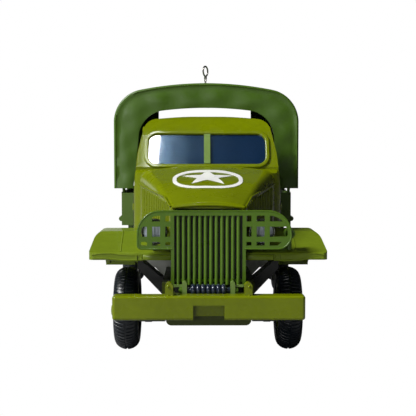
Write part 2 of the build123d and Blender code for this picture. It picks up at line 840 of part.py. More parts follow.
# y, shoulder half width, shoulder z, crown z, z at the cab's side
cowl_sections = (
    (cowl_y, hood_sections[-1][1] + 0.4, 34.5, hood_sections[-1][3], 31.5),
    (screen_low_y, pillar_half, 35.4, screen_low_z, 34.0),
)
cowl_cuts = []
for inset in (0, panel_wall):
    with BuildPart() as above_cowl:
        for y, shoulder_x, shoulder_z, crown_z, edge_z in cowl_sections:
            with BuildSketch(facing(y + inset)):
                with BuildLine():
                    Polyline(
                        (shoulder_x, shoulder_z - inset),
                        (cab_half + 1, edge_z - inset),
                        (cab_half + 1, cab_high_z),
                        (-cab_half - 1, cab_high_z),
                        (-cab_half - 1, edge_z - inset),
                        (-shoulder_x, shoulder_z - inset),
                    )
                    ThreePointArc(
                        (-shoulder_x, shoulder_z - inset),
                        (0, crown_z - inset),
                        (shoulder_x, shoulder_z - inset),
                    )
                make_face()
        loft(ruled=True)
    cowl_cuts.append(above_cowl.part)

with BuildPart() as cab_hollow:
    add(cab_shapes[1])
    add(cowl_cuts[1], mode=Mode.SUBTRACT)

with BuildPart() as cab:
    add(cab_shapes[0])
    add(cowl_cuts[0], mode=Mode.SUBTRACT)
    add(cab_hollow.part, mode=Mode.SUBTRACT)
    with BuildSketch(screen_plane.offset(-2.5)):
        with Locations((0, screen_open_shift)):
            RectangleRounded(2 * screen_half, screen_open_length, screen_corner)
    extrude(amount=5, mode=Mode.SUBTRACT)
    with BuildSketch(across(-cab_half - 1)):
        with BuildLine():
            Polyline(
                (side_window_front_y - 1.2, side_window_low_z),
                (side_window_back_y, side_window_low_z),
                (side_window_back_y, side_window_high_z),
                (side_window_front_y + 1.2, side_window_high_z),
                close=True,
            )
        make_face()
    extrude(amount=2 * cab_half + 2, mode=Mode.SUBTRACT)
    with BuildSketch(facing(cab_back_y + 1)):
        with Locations((0, (rear_window_low_z + rear_window_high_z) / 2)):
            RectangleRounded(2 * rear_window_half, rear_window_high_z - rear_window_low_z, 0.8)
    extrude(amount=3, mode=Mode.SUBTRACT)
save(cab, "cab")

with BuildPart() as screen_frame:
    with BuildSketch(screen_plane) as rim_sketch:
        with Locations((0, screen_open_shift)):
            RectangleRounded(
                2 * (screen_half + screen_rim),
                screen_open_length + 2 * screen_rim,
                screen_corner + screen_rim,
            )
            RectangleRounded(
                2 * screen_half, screen_open_length, screen_corner, mode=Mode.SUBTRACT
            )
    extrude(amount=screen_rim_height)
    rim_face = screen_frame.faces().sort_by(Axis(screen_plane.origin, screen_plane.z_dir))[-1]
    fillet(rim_face.edges(), rim_rounding)
    add(cab.part, mode=Mode.SUBTRACT)
save(screen_frame, "windscreen_frame")

with BuildPart() as mullion:
    with BuildSketch(screen_plane):
        with Locations((0, screen_open_shift)):
            Rectangle(mullion_width, screen_open_length - 2 * fit_gap)
    extrude(amount=screen_rim_height)
save(mullion, "windscreen_post")

glass_gap = fit_gap
with BuildPart() as windscreen:
    with BuildSketch(screen_plane.offset(-glass_thickness - fit_gap)):
        with Locations((0, screen_open_shift)):
            RectangleRounded(
                2 * (screen_half - glass_gap),
                screen_open_length - 2 * glass_gap,
                screen_corner - glass_gap,
            )
    extrude(amount=glass_thickness)
save(windscreen, "windscreen_glass")

with BuildPart() as side_glass:
    for s in sides:
        with BuildSketch(across(s * (cab_half - side_glass_inset))):
            with BuildLine():
                Polyline(
                    (side_window_front_y - 1.2, side_window_low_z - 0.6),
                    (side_window_back_y + 0.6, side_window_low_z - 0.6),
                    (side_window_back_y + 0.6, side_window_high_z - 0.2),
                    (side_window_front_y + 1.2, side_window_high_z - 0.2),
                    close=True,
                )
            make_face()
        extrude(amount=-s * glass_thickness)
save(side_glass, "side_glass")

with BuildPart() as rear_glass:
    with BuildSketch(facing(cab_back_y - 0.2)):
        with Locations((0, (rear_window_low_z + rear_window_high_z) / 2)):
            RectangleRounded(
                2 * (rear_window_half - fit_gap),
                rear_window_high_z - rear_window_low_z - 2 * fit_gap,
                0.8 - fit_gap,
            )
    extrude(amount=glass_thickness)
save(rear_glass, "rear_glass")

# ---- inside the cab -----------------------------------------------------------------------------
cab_floor_z = cab_low_z + panel_wall
seat_back_y = cab_back_y - panel_wall - 0.3
seat_half = 12.0
seat_depth = 8.0
seat_back_depth = 2.4
seat_z = cab_floor_z + 8.5
seat_back_height = 9.5
with BuildPart() as seat:
    block((-seat_half, seat_half), (seat_back_y - seat_depth, seat_back_y), (cab_floor_z, seat_z))
    block(
        (-seat_half, seat_half),
        (seat_back_y - seat_back_depth, seat_back_y),
        (seat_z, seat_z + seat_back_height),
    )
    fillet(seat.edges().filter_by(Axis.X).group_by(Axis.Z)[-1], 0.9)
save(seat, "seat")

dash_low_z = 30.6
dash_high_z = 33.6
dash_front_y = cowl_y + panel_wall + 0.1
dash_back_y = dash_front_y + 3.6
dash_half = 12.6
with BuildPart() as dashboard:
    block((-dash_half, dash_half), (dash_front_y, dash_back_y), (dash_low_z, dash_high_z))
    fillet(dashboard.edges().filter_by(Axis.X).group_by(Axis.Z)[-1], 0.8)
save(dashboard, "dashboard")

wheel_tilt = 38.0
wheel_y = dash_back_y + 3.4
wheel_z = 34.6
column_length = 5.0
steering_plane = Plane(origin=(wheel_x, wheel_y, wheel_z)).rotated((-wheel_tilt, 0, 0))
with BuildPart() as steering_wheel:
    with Locations(steering_plane.location):
        Torus(steering_radius, steering_tube)
        Cylinder(0.7, 2 * steering_tube)
        Box(2 * steering_radius, 0.5, 0.35)
        Box(0.5, 2 * steering_radius, 0.35)
    with BuildSketch(steering_plane):
        Circle(0.4)
    extrude(amount=-column_length)
save(steering_wheel, "steering_wheel")

# ---- fenders, running boards, aprons, bulkhead ----------------------------------------------------
hood_slope = (hood_sections[-1][1] - hood_sections[0][1]) / (cowl_y - hood_front_y)
front_inner_half = hood_sections[0][1] - (hood_front_y - fender_front_y) * hood_slope
panel_gap = 0.08
fender_shapes = []
for inset in (0, fender_sheet):
    back_y = board_front_y + inset
    with BuildPart() as fender_shape:
        with BuildSketch(across(-fender_half)) as fender_side:
            with BuildLine():
                Polyline(
                    (fender_front_y + inset, board_low_z - 2),
                    (fender_front_y + inset, fender_front_z - inset),
                    (fender_peak_front_y, fender_peak_z - inset),
                    (fender_peak_back_y, fender_peak_z - inset),
                    (back_y, board_high_z - 1.4 * inset),
                    (back_y, board_low_z - 2),
                    close=True,
                )
            make_face()
            peak_corners = fender_side.vertices().group_by(Axis.Y)[-1]
            fillet(peak_corners, fender_peak_rounding)
            front_corner = fender_side.vertices().group_by(Axis.X)[0].sort_by(Axis.Y)[-1:]
            fillet(front_corner, fender_nose_rounding)
        extrude(amount=2 * fender_half)
        with BuildSketch(facing(back_y)) as fender_crown:
            with BuildLine():
                Polyline(
                    (-fender_half + inset, board_low_z - 3),
                    (-fender_half + inset, fender_edge_z - inset),
                    (-fender_crease_x, fender_peak_z + 0.1 - inset),
                    (fender_crease_x, fender_peak_z + 0.1 - inset),
                    (fender_half - inset, fender_edge_z - inset),
                    (fender_half - inset, board_low_z - 3),
                    close=True,
                )
            make_face()
            fillet(fender_crown.vertices().group_by(Axis.Y)[1], fender_edge_rounding)
        extrude(amount=back_y - fender_front_y, mode=Mode.INTERSECT)
        with BuildSketch(level(board_low_z - 3)) as fender_plan:
            with Locations((0, (fender_front_y + inset + back_y) / 2)):
                Rectangle(2 * (fender_half - inset), back_y - fender_front_y - inset)
            fillet(fender_plan.vertices().group_by(Axis.Y)[0], fender_edge_rounding)
        extrude(amount=12, mode=Mode.INTERSECT)
    fender_shapes.append(fender_shape.part)

with BuildPart() as fenders:
    add(fender_shapes[0])
    add(fender_shapes[1], mode=Mode.SUBTRACT)
    with BuildSketch(across(-fender_half - 1)):
        with BuildLine():
            Polyline(
                (fender_front_y - 1, board_low_z - 4),
                (fender_front_y - 1, fender_lip_low_z),
                (fender_front_y + 2 * fender_sheet, fender_lip_low_z),
                (fender_peak_front_y, fender_edge_z - fender_lip),
                (fender_peak_back_y, fender_edge_z - fender_lip),
                (board_front_y - 0.4, board_high_z - fender_sheet),
                (board_front_y + 2, board_high_z - fender_sheet),
                (board_front_y + 2, board_low_z - 4),
                close=True,
            )
        make_face()
    extrude(amount=2 * fender_half + 2, mode=Mode.SUBTRACT)
    with BuildSketch(level(board_low_z - 1)):
        with BuildLine():
            Polyline(
                (-front_inner_half - panel_gap, fender_front_y - 1),
                (-front_inner_half - panel_gap, fender_front_y),
                (-hood_sections[-1][1] - panel_gap, cowl_y),
                (-cab_half - panel_gap, cowl_y),
                (-cab_half - panel_gap, board_front_y + 1),
                (cab_half + panel_gap, board_front_y + 1),
                (cab_half + panel_gap, cowl_y),
                (hood_sections[-1][1] + panel_gap, cowl_y),
                (front_inner_half + panel_gap, fender_front_y),
                (front_inner_half + panel_gap, fender_front_y - 1),
                close=True,
            )
        make_face()
    extrude(amount=12, mode=Mode.SUBTRACT)
save(fenders, "fenders")

with BuildPart() as boards:
    for s in sides:
        block(
            span(s, cab_half + panel_gap, board_half),
            (board_front_y + fit_gap, board_back_y),
            (board_low_z, board_high_z),
        )
        for bracket_y in (board_front_y + bracket_inset, board_back_y - bracket_inset):
            block(
                span(s, rail_half, cab_half + panel_gap),
                (bracket_y - bracket_width / 2, bracket_y + bracket_width / 2),
                (board_low_z + fit_gap, cab_low_z - bracket_gap),
            )
save(boards, "running_boards")

with BuildPart() as aprons:
    for s in sides:
        with BuildSketch(facing(apron_back_y)):
            with BuildLine():
                Polyline(
                    (s * rail_half, rail_bottom_z + 0.3),
                    (s * apron_x, apron_knee_z),
                    (s * apron_x, apron_top_z),
                    (s * (apron_x - apron_wall), apron_top_z),
                    (s * (apron_x - apron_wall), apron_knee_z + 1.4),
                    (s * rail_half, chassis_top_z - 0.1),
                    close=True,
                )
            make_face()
        extrude(amount=apron_back_y - apron_front_y)
save(aprons, "splash_aprons")

with BuildPart() as firewall:
    block(
        (-firewall_half, firewall_half),
        (cowl_y - firewall_sheet, cowl_y),
        (firewall_low_z, firewall_high_z),
    )
    with BuildSketch(facing(cowl_y)):
        for s in sides:
            with BuildLine():
                Polyline(
                    (s * (rail_half + panel_gap), wing_low_z),
                    (s * firewall_half, wing_high_z),
                    (s * firewall_half, wing_top_z),
                    (s * (rail_half + panel_gap), wing_top_z),
                    close=True,
                )
            make_face()
    extrude(amount=firewall_sheet)
save(firewall, "firewall")

# ---- cargo bed --------------------------------------------------------------------------------
bed_length = bed_back_y - bed_front_y
with BuildPart() as bed:
    block((-bed_half, bed_half), (bed_front_y, bed_back_y), (bed_low_z, bed_high_z))
    block(
        (-bed_half + bed_wall, bed_half - bed_wall),
        (bed_front_y + bed_wall, bed_back_y + 1),
        (bed_low_z + bed_wall, bed_high_z + 1),
        mode=Mode.SUBTRACT,
    )
    for s in sides:
        with BuildSketch(facing(bed_back_y, x=s * (bed_half + bed_rail_proud - bed_rail_radius), z=bed_rail_z)):
            Circle(bed_rail_radius)
        extrude(amount=bed_length)
        for stake in range(stake_count):
            stake_y = bed_front_y + bed_length * (stake + 0.5) / stake_count
            block(
                span(s, bed_half, bed_half + stake_proud),
                (stake_y - stake_width / 2, stake_y + stake_width / 2),
                (bed_low_z, bed_high_z),
            )
save(bed, "cargo_bed")

with BuildPart() as tailgate:
    block(
        (-bed_half, bed_half),
        (bed_back_y + fit_gap, bed_back_y + fit_gap + gate_thickness),
        (bed_low_z + 0.2, bed_high_z),
    )
    for rib in range(gate_rib_count):
        rib_x = (rib - (gate_rib_count - 1) / 2) * gate_rib_spacing
        block(
            (rib_x - 0.6, rib_x + 0.6),
            (bed_back_y + gate_thickness, bed_back_y + gate_thickness + 0.45),
            (bed_low_z + 0.2, bed_high_z),
        )
save(tailgate, "tailgate")

with BuildPart() as bed_sills:
    sill_front_y = bed_front_y + 1.0
    sill_back_y = bed_back_y - 1.0
    for s in sides:
        block(
            span(s, rail_half - 1.6, rail_half),
            (sill_front_y, sill_back_y),
            (chassis_top_z, bed_low_z),
        )
    for sill in range(cross_sill_count):
        sill_y = sill_front_y + (sill_back_y - sill_front_y) * (sill + 0.5) / cross_sill_count
        block(
            (-bed_half + 1.0, bed_half - 1.0),
            (sill_y - cross_sill_width / 2, sill_y + cross_sill_width / 2),
            (bed_low_z - cross_sill_height, bed_low_z),
        )
save(bed_sills, "bed_sills")

# ---- moulded cover ----------------------------------------------------------------------------
cover_shapes = []
for inset in (0, cover_wall):
    with BuildPart() as cover_shape:
        with BuildSketch(facing(cover_back_y - inset)):
            side_low = (cover_half - inset, cover_low_z - inset)
            side_high = (cover_half - inset, cover_side_z)
            between = (cover_arc_x - 0.77 * inset, cover_arc_z - 0.64 * inset)
            shoulder = (cover_shoulder_x - 0.14 * inset, cover_shoulder_z - inset)
            with BuildLine():
                Polyline(
                    (-side_high[0], side_high[1]),
                    (-side_low[0], side_low[1]),
                    side_low,
                    side_high,
                )
                ThreePointArc(side_high, between, shoulder)
                ThreePointArc(shoulder, (0, cover_high_z - inset), (-shoulder[0], shoulder[1]))
                ThreePointArc(
                    (-shoulder[0], shoulder[1]), (-between[0], between[1]), (-side_high[0], side_high[1])
                )
            make_face()
        extrude(amount=cover_back_y - cover_front_y - 2 * inset)
        if inset == 0:
            for end_face in (cover_shape.faces().sort_by(Axis.Y)[0], cover_shape.faces().sort_by(Axis.Y)[-1]):
                rim = end_face.edges().filter_by(lambda edge: edge.center().Z > cover_low_z + 1)
                fillet(rim, cover_edge_rounding)
    cover_shapes.append(cover_shape.part)

with BuildPart() as cover:
    add(cover_shapes[0])
    add(cover_shapes[1], mode=Mode.SUBTRACT)
    with BuildSketch(facing(cover_front_y + 2 * cover_wall)):
        with BuildLine():
            ThreePointArc(
                (-cover_door_top_half, cover_door_shoulder_z),
                (0, cover_door_high_z),
                (cover_door_top_half, cover_door_shoulder_z),
            )
            for s in sides:
                ThreePointArc(
                    (s * cover_door_top_half, cover_door_shoulder_z),
                    (s * cover_door_bend_x, cover_door_bend_z),
                    (s * cover_door_half_high, cover_door_side_z),
                )
                Line(
                    (s * cover_door_half_high, cover_door_side_z),
                    (s * cover_door_half_low, cover_low_z - 1),
                )
            Line(
                (-cover_door_half_low, cover_low_z - 1),
                (cover_door_half_low, cover_low_z - 1),
            )
        make_face()
    extrude(amount=3 * cover_wall, mode=Mode.SUBTRACT)
    with BuildSketch(facing(cover_back_y + 1)) as rear_door:
        with Locations((0, (cover_low_z - 3 + cover_rear_high_z) / 2)):
            Rectangle(2 * cover_rear_half, cover_rear_high_z - cover_low_z + 3)
        fillet(rear_door.vertices().group_by(Axis.Y)[-1], cover_rear_corner)
    extrude(amount=3 * cover_wall, mode=Mode.SUBTRACT)
    with BuildSketch(level(cover_high_z - 3 * cover_wall, y=loop_y)):
        Circle(loop_shank_radius + loop_hole_gap)
    extrude(amount=4 * cover_wall, mode=Mode.SUBTRACT)
    for s in sides:
        for bow in range(bow_count):
            bow_y = cover_front_y + 3.0 + (cover_back_y - cover_front_y - 6.0) * bow / (bow_count - 1)
            block(
                span(s, bed_half - bed_wall + fit_gap, bed_half - fit_gap),
                (bow_y - bow_width / 2, bow_y + bow_width / 2),
                (bed_high_z, cover_low_z + 1),
            )
            block(
                span(s, bed_half - bed_wall + fit_gap, cover_half - cover_wall / 2),
                (bow_y - bow_width / 2, bow_y + bow_width / 2),
                (cover_low_z + 0.3, cover_side_z),
            )
save(cover, "cargo_cover")

# ---- hanging loop ------------------------------------------------------------------------------
loop_ring_radius = loop_outer_radius - loop_wire
loop_centre_z = loop_top_z - loop_outer_radius
loop_plane = Plane(origin=(0, loop_y, loop_centre_z), x_dir=(0, 1, 0), z_dir=(1, 0, 0))
loop_stop_z = cover_high_z - cover_wall - fit_gap
with BuildPart() as loop:
    with Locations(loop_plane.rotated((0, 0, 0)).location * Location((0, 0, 0), (0, -loop_turn, 0))):
        Torus(loop_ring_radius, loop_wire)
    with BuildSketch(level(loop_stop_z - 0.6, y=loop_y)):
        Circle(loop_shank_radius)
    extrude(amount=loop_centre_z - loop_ring_radius - loop_stop_z + 0.6)
    with BuildSketch(level(loop_stop_z - 0.6, y=loop_y)):
        Circle(2.2 * loop_shank_radius)
    extrude(amount=0.6)
save(loop, "hanging_loop")

# ---- tank, tool box, exhaust, rear fittings ------------------------------------------------------
tank_front_y = bed_front_y + 1.0
tank_back_y = tank_front_y + 14.0
tank_low_z = 12.4
tank_high_z = bed_low_z - cross_sill_height - fit_gap
tank_outer = 19.4
for tank_name, s, rounding in (("fuel_tank", -1, 2.0), ("tool_box", 1, 0.5)):
    with BuildPart() as box_piece:
        block(span(s, rail_half, tank_outer), (tank_front_y, tank_back_y), (tank_low_z, tank_high_z))
        outer_edges = box_piece.edges().filter_by(Axis.Y).sort_by(Axis.X)
        fillet(outer_edges[:2] if s < 0 else outer_edges[-2:], rounding)
    save(box_piece, tank_name)

muffler_x = 4.9
muffler_z = 10.6
muffler_radius = 1.5
muffler_start_y = gearbox_back_y + 2.0
muffler_length = 12.0
with BuildPart() as exhaust:
    with BuildSketch(facing(muffler_start_y + muffler_length, x=muffler_x, z=muffler_z)):
        Circle(muffler_radius)
    extrude(amount=muffler_length)
    with BuildSketch(facing(muffler_start_y, x=muffler_x, z=muffler_z)):
        Circle(0.55)
    extrude(amount=18.0)
    block(
        (muffler_x - 0.4, muffler_x + 0.4),
        (muffler_start_y + 2, muffler_start_y + 3),
        (muffler_z, pan_under_z),
    )
save(exhaust, "exhaust")

hook_z = (rail_bottom_z + chassis_top_z) / 2
with BuildPart() as hook:
    block((-2.2, 2.2), (chassis_back_y, chassis_back_y + 0.7), (hook_z - 1.4, hook_z + 1.4))
    with BuildSketch(level(hook_z - 0.45)):
        with Locations((0, tail_y - 1.1)):
            Circle(1.1)
            Circle(0.5, mode=Mode.SUBTRACT)
        with Locations((0, tail_y - 2.0)):
            Rectangle(0.8, 1.0)
        with Locations((0, tail_y - 1.1)):
            Circle(0.5, mode=Mode.SUBTRACT)
    extrude(amount=0.9)
save(hook, "tow_hook")

tail_lamp_x = 17.0
with BuildPart() as tail_lamps:
    for s in sides:
        with BuildSketch(facing(bed_back_y - 1.0, x=s * tail_lamp_x, z=bed_low_z - 1.0)):
            Circle(0.9)
        extrude(amount=1.2)
save(tail_lamps, "tail_lamps")
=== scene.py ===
import json
import math

import bmesh
import bpy
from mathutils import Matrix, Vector


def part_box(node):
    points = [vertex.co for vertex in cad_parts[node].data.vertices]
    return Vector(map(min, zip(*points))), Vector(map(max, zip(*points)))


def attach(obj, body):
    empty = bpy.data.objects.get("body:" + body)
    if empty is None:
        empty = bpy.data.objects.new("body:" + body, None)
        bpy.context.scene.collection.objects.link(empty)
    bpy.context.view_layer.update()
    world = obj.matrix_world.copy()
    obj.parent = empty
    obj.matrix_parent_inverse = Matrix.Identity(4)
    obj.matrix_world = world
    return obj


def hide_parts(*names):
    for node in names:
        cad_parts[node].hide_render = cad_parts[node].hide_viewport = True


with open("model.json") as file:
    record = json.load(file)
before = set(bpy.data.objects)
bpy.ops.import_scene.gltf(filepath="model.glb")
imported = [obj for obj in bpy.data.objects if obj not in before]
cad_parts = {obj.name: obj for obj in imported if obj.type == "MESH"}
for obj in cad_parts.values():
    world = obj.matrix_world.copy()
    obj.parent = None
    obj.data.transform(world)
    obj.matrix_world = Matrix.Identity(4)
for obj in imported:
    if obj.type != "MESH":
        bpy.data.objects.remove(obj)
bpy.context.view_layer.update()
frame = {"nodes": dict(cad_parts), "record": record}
MM = 0.001
nodes = frame["nodes"]
SIDES = (-1, 1)

# ---------------------------------------------------------------- materials


class Surface:
    """A material with Principled shading and noise read in the object's own space."""

    def __init__(self, name, color, roughness, metallic=0.0, coat=0.0, specular=0.5):
        self.material = bpy.data.materials.new(name)
        self.material.use_nodes = True
        self.tree = self.material.node_tree
        self.nodes = self.tree.nodes
        self.shader = self.nodes["Principled BSDF"]
        self.shader.inputs["Base Color"].default_value = (*linear(color), 1)
        self.shader.inputs["Roughness"].default_value = roughness
        self.shader.inputs["Metallic"].default_value = metallic
        self.shader.inputs["Coat Weight"].default_value = coat
        self.shader.inputs["Coat Roughness"].default_value = 0.06
        self.shader.inputs["Specular IOR Level"].default_value = specular
        self.place = self.nodes.new("ShaderNodeTexCoord").outputs["Object"]
        self.normal = None

    def noise(self, size, detail=3.0, stretch=(1, 1, 1)):
        """Noise whose features are about size millimetres across."""
        mapping = self.nodes.new("ShaderNodeMapping")
        mapping.inputs["Scale"].default_value = [1 / (size * MM * s) for s in stretch]
        self.tree.links.new(self.place, mapping.inputs["Vector"])
        texture = self.nodes.new("ShaderNodeTexNoise")
        texture.inputs["Scale"].default_value = 1.0
        texture.inputs["Detail"].default_value = detail
        self.tree.links.new(mapping.outputs["Vector"], texture.inputs["Vector"])
        return texture.outputs["Fac"]

    def ramp(self, source, low, high):
        """Map a 0 to 1 value onto low to high, held at its ends."""
        node = self.nodes.new("ShaderNodeMapRange")
        node.inputs["From Min"].default_value = 0.3
        node.inputs["From Max"].default_value = 0.7
        node.inputs["To Min"].default_value = low
        node.inputs["To Max"].default_value = high
        self.tree.links.new(source, node.inputs["Value"])
        return node.outputs["Result"]

    def tint(self, source, other):
        """Blend the base colour towards another colour where source is high."""
        mix = self.nodes.new("ShaderNodeMix")
        mix.data_type = "RGBA"
        base = self.shader.inputs["Base Color"]
        if base.is_linked:
            self.tree.links.new(base.links[0].from_socket, mix.inputs[6])
        else:
            mix.inputs[6].default_value = base.default_value
        mix.inputs[7].default_value = (*linear(other), 1)
        self.tree.links.new(source, mix.inputs[0])
        self.tree.links.new(mix.outputs[2], base)
        return self

    def rough(self, source, low, high):
        self.tree.links.new(self.ramp(source, low, high), self.shader.inputs["Roughness"])
        return self

    def bump(self, source, depth, strength=1.0):
        """Raise the surface by depth millimetres where source is high."""
        node = self.nodes.new("ShaderNodeBump")
        node.inputs["Distance"].default_value = depth * MM
        node.inputs["Strength"].default_value = strength
        self.tree.links.new(source, node.inputs["Height"])
        if self.normal:
            self.tree.links.new(self.normal, node.inputs["Normal"])
        self.normal = node.outputs["Normal"]
        self.tree.links.new(self.normal, self.shader.inputs["Normal"])
        return self


def linear(color):
    """sRGB values of 0 to 255 as the linear values that shaders take."""
    out = []
    for value in color:
        value = value / 255
        out.append(value / 12.92 if value <= 0.04045 else ((value + 0.055) / 1.055) ** 2.4)
    return out


def mixed(color, factor):
    return tuple(min(255, value * factor) for value in color)


def paint(name, color, roughness=0.3, coat=0.5, grain=0.004):
    """Sprayed paint over a moulding: faint orange peel, uneven tone and gloss."""
    surface = Surface(name, color, roughness, coat=coat, specular=0.2)
    surface.tint(surface.ramp(surface.noise(7.0), 0.0, 0.5), mixed(color, 0.86))
    surface.tint(surface.ramp(surface.noise(1.1, 5), 0.0, 0.22), mixed(color, 1.16))
    surface.rough(surface.noise(3.0), roughness * 0.8, roughness * 1.3)
    surface.bump(surface.noise(0.45, 2), grain)
    surface.bump(surface.noise(2.6, 2), grain * 2.5)
    return surface.material


def moulded(name, color, roughness=0.45, grain=0.01):
    """Bare moulded plastic with a fine even texture."""
    surface = Surface(name, color, roughness)
    surface.tint(surface.ramp(surface.noise(5.0), 0.0, 0.45), mixed(color, 0.85))
    surface.rough(surface.noise(1.6), roughness * 0.8, roughness * 1.25)
    surface.bump(surface.noise(0.3, 3), grain)
    return surface.material


def tinted_glass(name, color, clear=0.55):
    """Dark tinted window moulding: a sharp gloss over a softer one."""
    surface = Surface(name, color, 0.14, coat=1.0)
    surface.shader.inputs["Coat Roughness"].default_value = 0.03
    surface.shader.inputs["Coat IOR"].default_value = 1.9
    surface.tint(surface.ramp(surface.noise(9.0), 0.0, 0.6), mixed(color, 0.7))
    surface.shader.inputs["Transmission Weight"].default_value = clear
    surface.shader.inputs["IOR"].default_value = 1.49
    surface.shader.inputs["Specular Tint"].default_value = (0.45, 0.75, 1, 1)
    surface.rough(surface.noise(4.0), 0.11, 0.18)
    return surface.material


def metal(name, color, roughness=0.3, stretch=(1, 1, 1)):
    surface = Surface(name, color, roughness, metallic=1.0)
    surface.tint(surface.ramp(surface.noise(1.2, 4), 0.0, 0.5), mixed(color, 0.7))
    surface.rough(surface.noise(0.7, 4, stretch), roughness * 0.7, roughness * 1.4)
    surface.bump(surface.noise(0.3, 3, stretch), 0.01)
    return surface.material


MATERIALS = {
    "body_paint": paint("body_paint", (108, 121, 0), 0.28, 0.42),
    "fender_paint": paint("fender_paint", (107, 126, 22), 0.36, 0.25),
    "chassis_paint": paint("chassis_paint", (58, 67, 17), 0.4, 0.2),
    "grille_plastic": paint("grille_plastic", (79, 111, 26), 0.3, 0.5),
    # pale_plastic: the green paint made lighter as a painted highlight, for the small rounded parts
    # (mullion, winch posts) that catch the light
    "pale_plastic": paint("pale_plastic", (112, 138, 67), 0.3, 0.3),
    "bed_plastic": moulded("bed_plastic", (76, 103, 29)),
    "cover_plastic": moulded("cover_plastic", (70, 103, 21), 0.4),
    "black_plastic": moulded("black_plastic", (17, 19, 19), 0.4),
    # black_gloss: black glossy plastic, lifted to blue-grey as painted sheen that stands in for the
    # bright highlights on the cable's turns
    "black_gloss": moulded("black_gloss", (34, 42, 56), 0.14),
    "lamp_metal": metal("lamp_metal", (120, 124, 112), 0.3),
    # lamp_glass: pale glass whose near-white colour is partly painted reflection, standing in for the
    # lamps' glare on the headlamp lenses
    "lamp_glass": tinted_glass("lamp_glass", (214, 224, 236), 0.25),
    "tinted_glass": tinted_glass("window_tint", (26, 60, 100)),
    # bare_metal: grey unpainted metal, whitened as painted light so that the shaded firewall behind the
    # aprons reads as lit
    "bare_metal": moulded("bare_metal", (226, 228, 222), 0.5, 0.03),
    "wire_metal": metal("wire_metal", (170, 168, 160), 0.25),
    "axle_steel": metal("axle_steel", (150, 150, 148), 0.3),
    "wheel_paint": paint("wheel_paint", (79, 93, 26), 0.35, 0.3),
    "tyre_rubber": moulded("tyre_rubber", (15, 22, 28), 0.34, 0.02),
    "tail_lamp": moulded("tail_lamp", (150, 22, 18), 0.2),
    "white_marking": paint("white_marking", (246, 246, 242), 0.3, 0.4, 0.004),
    "dark_seam": moulded("dark_seam", (21, 23, 9), 0.6),
}

slots = {row["node"]: row["material_slot"] for row in frame["record"]["subparts"]}
for name, piece in nodes.items():
    piece.data.materials.clear()
    piece.data.materials.append(MATERIALS[slots[name]])

# ---------------------------------------------------------------- modelling helpers


def clean():
    """Back to object mode with nothing selected."""
    if bpy.context.object and bpy.context.object.mode != "OBJECT":
        bpy.ops.object.mode_set(mode="OBJECT")
    bpy.ops.object.select_all(action="DESELECT")


def only(*objects):
    clean()
    for obj in objects:
        obj.select_set(True)
    bpy.context.view_layer.objects.active = objects[0]
    return objects[0]


def settle(obj):
    """Put the object's place, turn and size into its mesh."""
    only(obj)
    bpy.ops.object.transform_apply(location=True, rotation=True, scale=True)
    return obj


def box(low, high):
    """Block between two corners, in millimetres."""
    clean()
    middle = [(a + b) / 2 * MM for a, b in zip(low, high)]
    bpy.ops.mesh.primitive_cube_add(size=1, location=middle)
    piece = bpy.context.object
    piece.scale = [(b - a) * MM for a, b in zip(low, high)]
    return settle(piece)


def bar(start, end, radius, sides=16, end_radius=None):
    """Round bar or cone between two points, in millimetres."""
    clean()
    start = Vector(start) * MM
    end = Vector(end) * MM
    run = end - start
    bpy.ops.mesh.primitive_cone_add(
        vertices=sides,
        radius1=radius * MM,
        radius2=(radius if end_radius is None else end_radius) * MM,
        depth=run.length,
        location=(start + end) / 2,
        rotation=run.to_track_quat("Z", "Y").to_euler(),
    )
    return settle(bpy.context.object)


def ball(place, radius, squash=(1, 1, 1), segments=16):
    """Round or squashed ball, in millimetres."""
    clean()
    bpy.ops.mesh.primitive_uv_sphere_add(
        segments=segments,
        ring_count=segments // 2,
        radius=radius * MM,
        location=Vector(place) * MM,
    )
    piece = bpy.context.object
    piece.scale = squash
    return settle(piece)


def joined(pieces):
    """The first piece with the others joined into it."""
    only(*pieces)
    if len(pieces) > 1:
        bpy.ops.object.join()
    return bpy.context.object


def rod(points, radius, sides=12):
    """Bars from point to point with round joints."""
    runs = [bar(a, b, radius, sides) for a, b in zip(points, points[1:])]
    knees = [ball(point, radius, segments=sides) for point in points[1:-1]]
    return joined(runs + knees)


def torus(place, radius, thickness, turn, segments):
    """Ring of a round section, turned from lying flat, in millimetres."""
    clean()
    bpy.ops.mesh.primitive_torus_add(
        major_radius=radius * MM,
        minor_radius=thickness * MM,
        major_segments=segments[0],
        minor_segments=segments[1],
        location=Vector(place) * MM,
        rotation=turn,
    )
    return settle(bpy.context.object)


def open_mesh(obj):
    """Edit mode with the whole mesh selected."""
    only(obj)
    bpy.ops.object.mode_set(mode="EDIT")
    bpy.ops.mesh.select_all(action="SELECT")


def pick(obj, kind, wanted):
    """In edit mode, select the faces, edges or vertices that wanted says yes to."""
    only(obj)
    bpy.ops.object.mode_set(mode="EDIT")
    bpy.ops.mesh.select_mode(type=kind)
    bpy.ops.mesh.select_all(action="DESELECT")
    mesh = bmesh.from_edit_mesh(obj.data)
    rows = {"VERT": mesh.verts, "EDGE": mesh.edges, "FACE": mesh.faces}[kind]
    for row in rows:
        row.select_set(bool(wanted(row)))
    mesh.select_flush_mode()
    bmesh.update_edit_mesh(obj.data)


def round_edges(obj, width, segments=2, wanted=None):
    """Bevel the edges that wanted says yes to, or every edge."""
    pick(obj, "EDGE", wanted or (lambda edge: True))
    bpy.ops.mesh.bevel(offset=width * MM, segments=segments, affect="EDGES")
    bpy.ops.object.mode_set(mode="OBJECT")
    return obj


def copy_of(obj, move=(0, 0, 0), turn=0.0, axis="X"):
    """Own copy of a piece, turned about the origin and moved, in millimetres."""
    only(obj)
    bpy.ops.object.duplicate()
    piece = bpy.context.object
    piece.rotation_euler["XYZ".index(axis)] = turn
    piece.location = Vector(move) * MM
    return settle(piece)


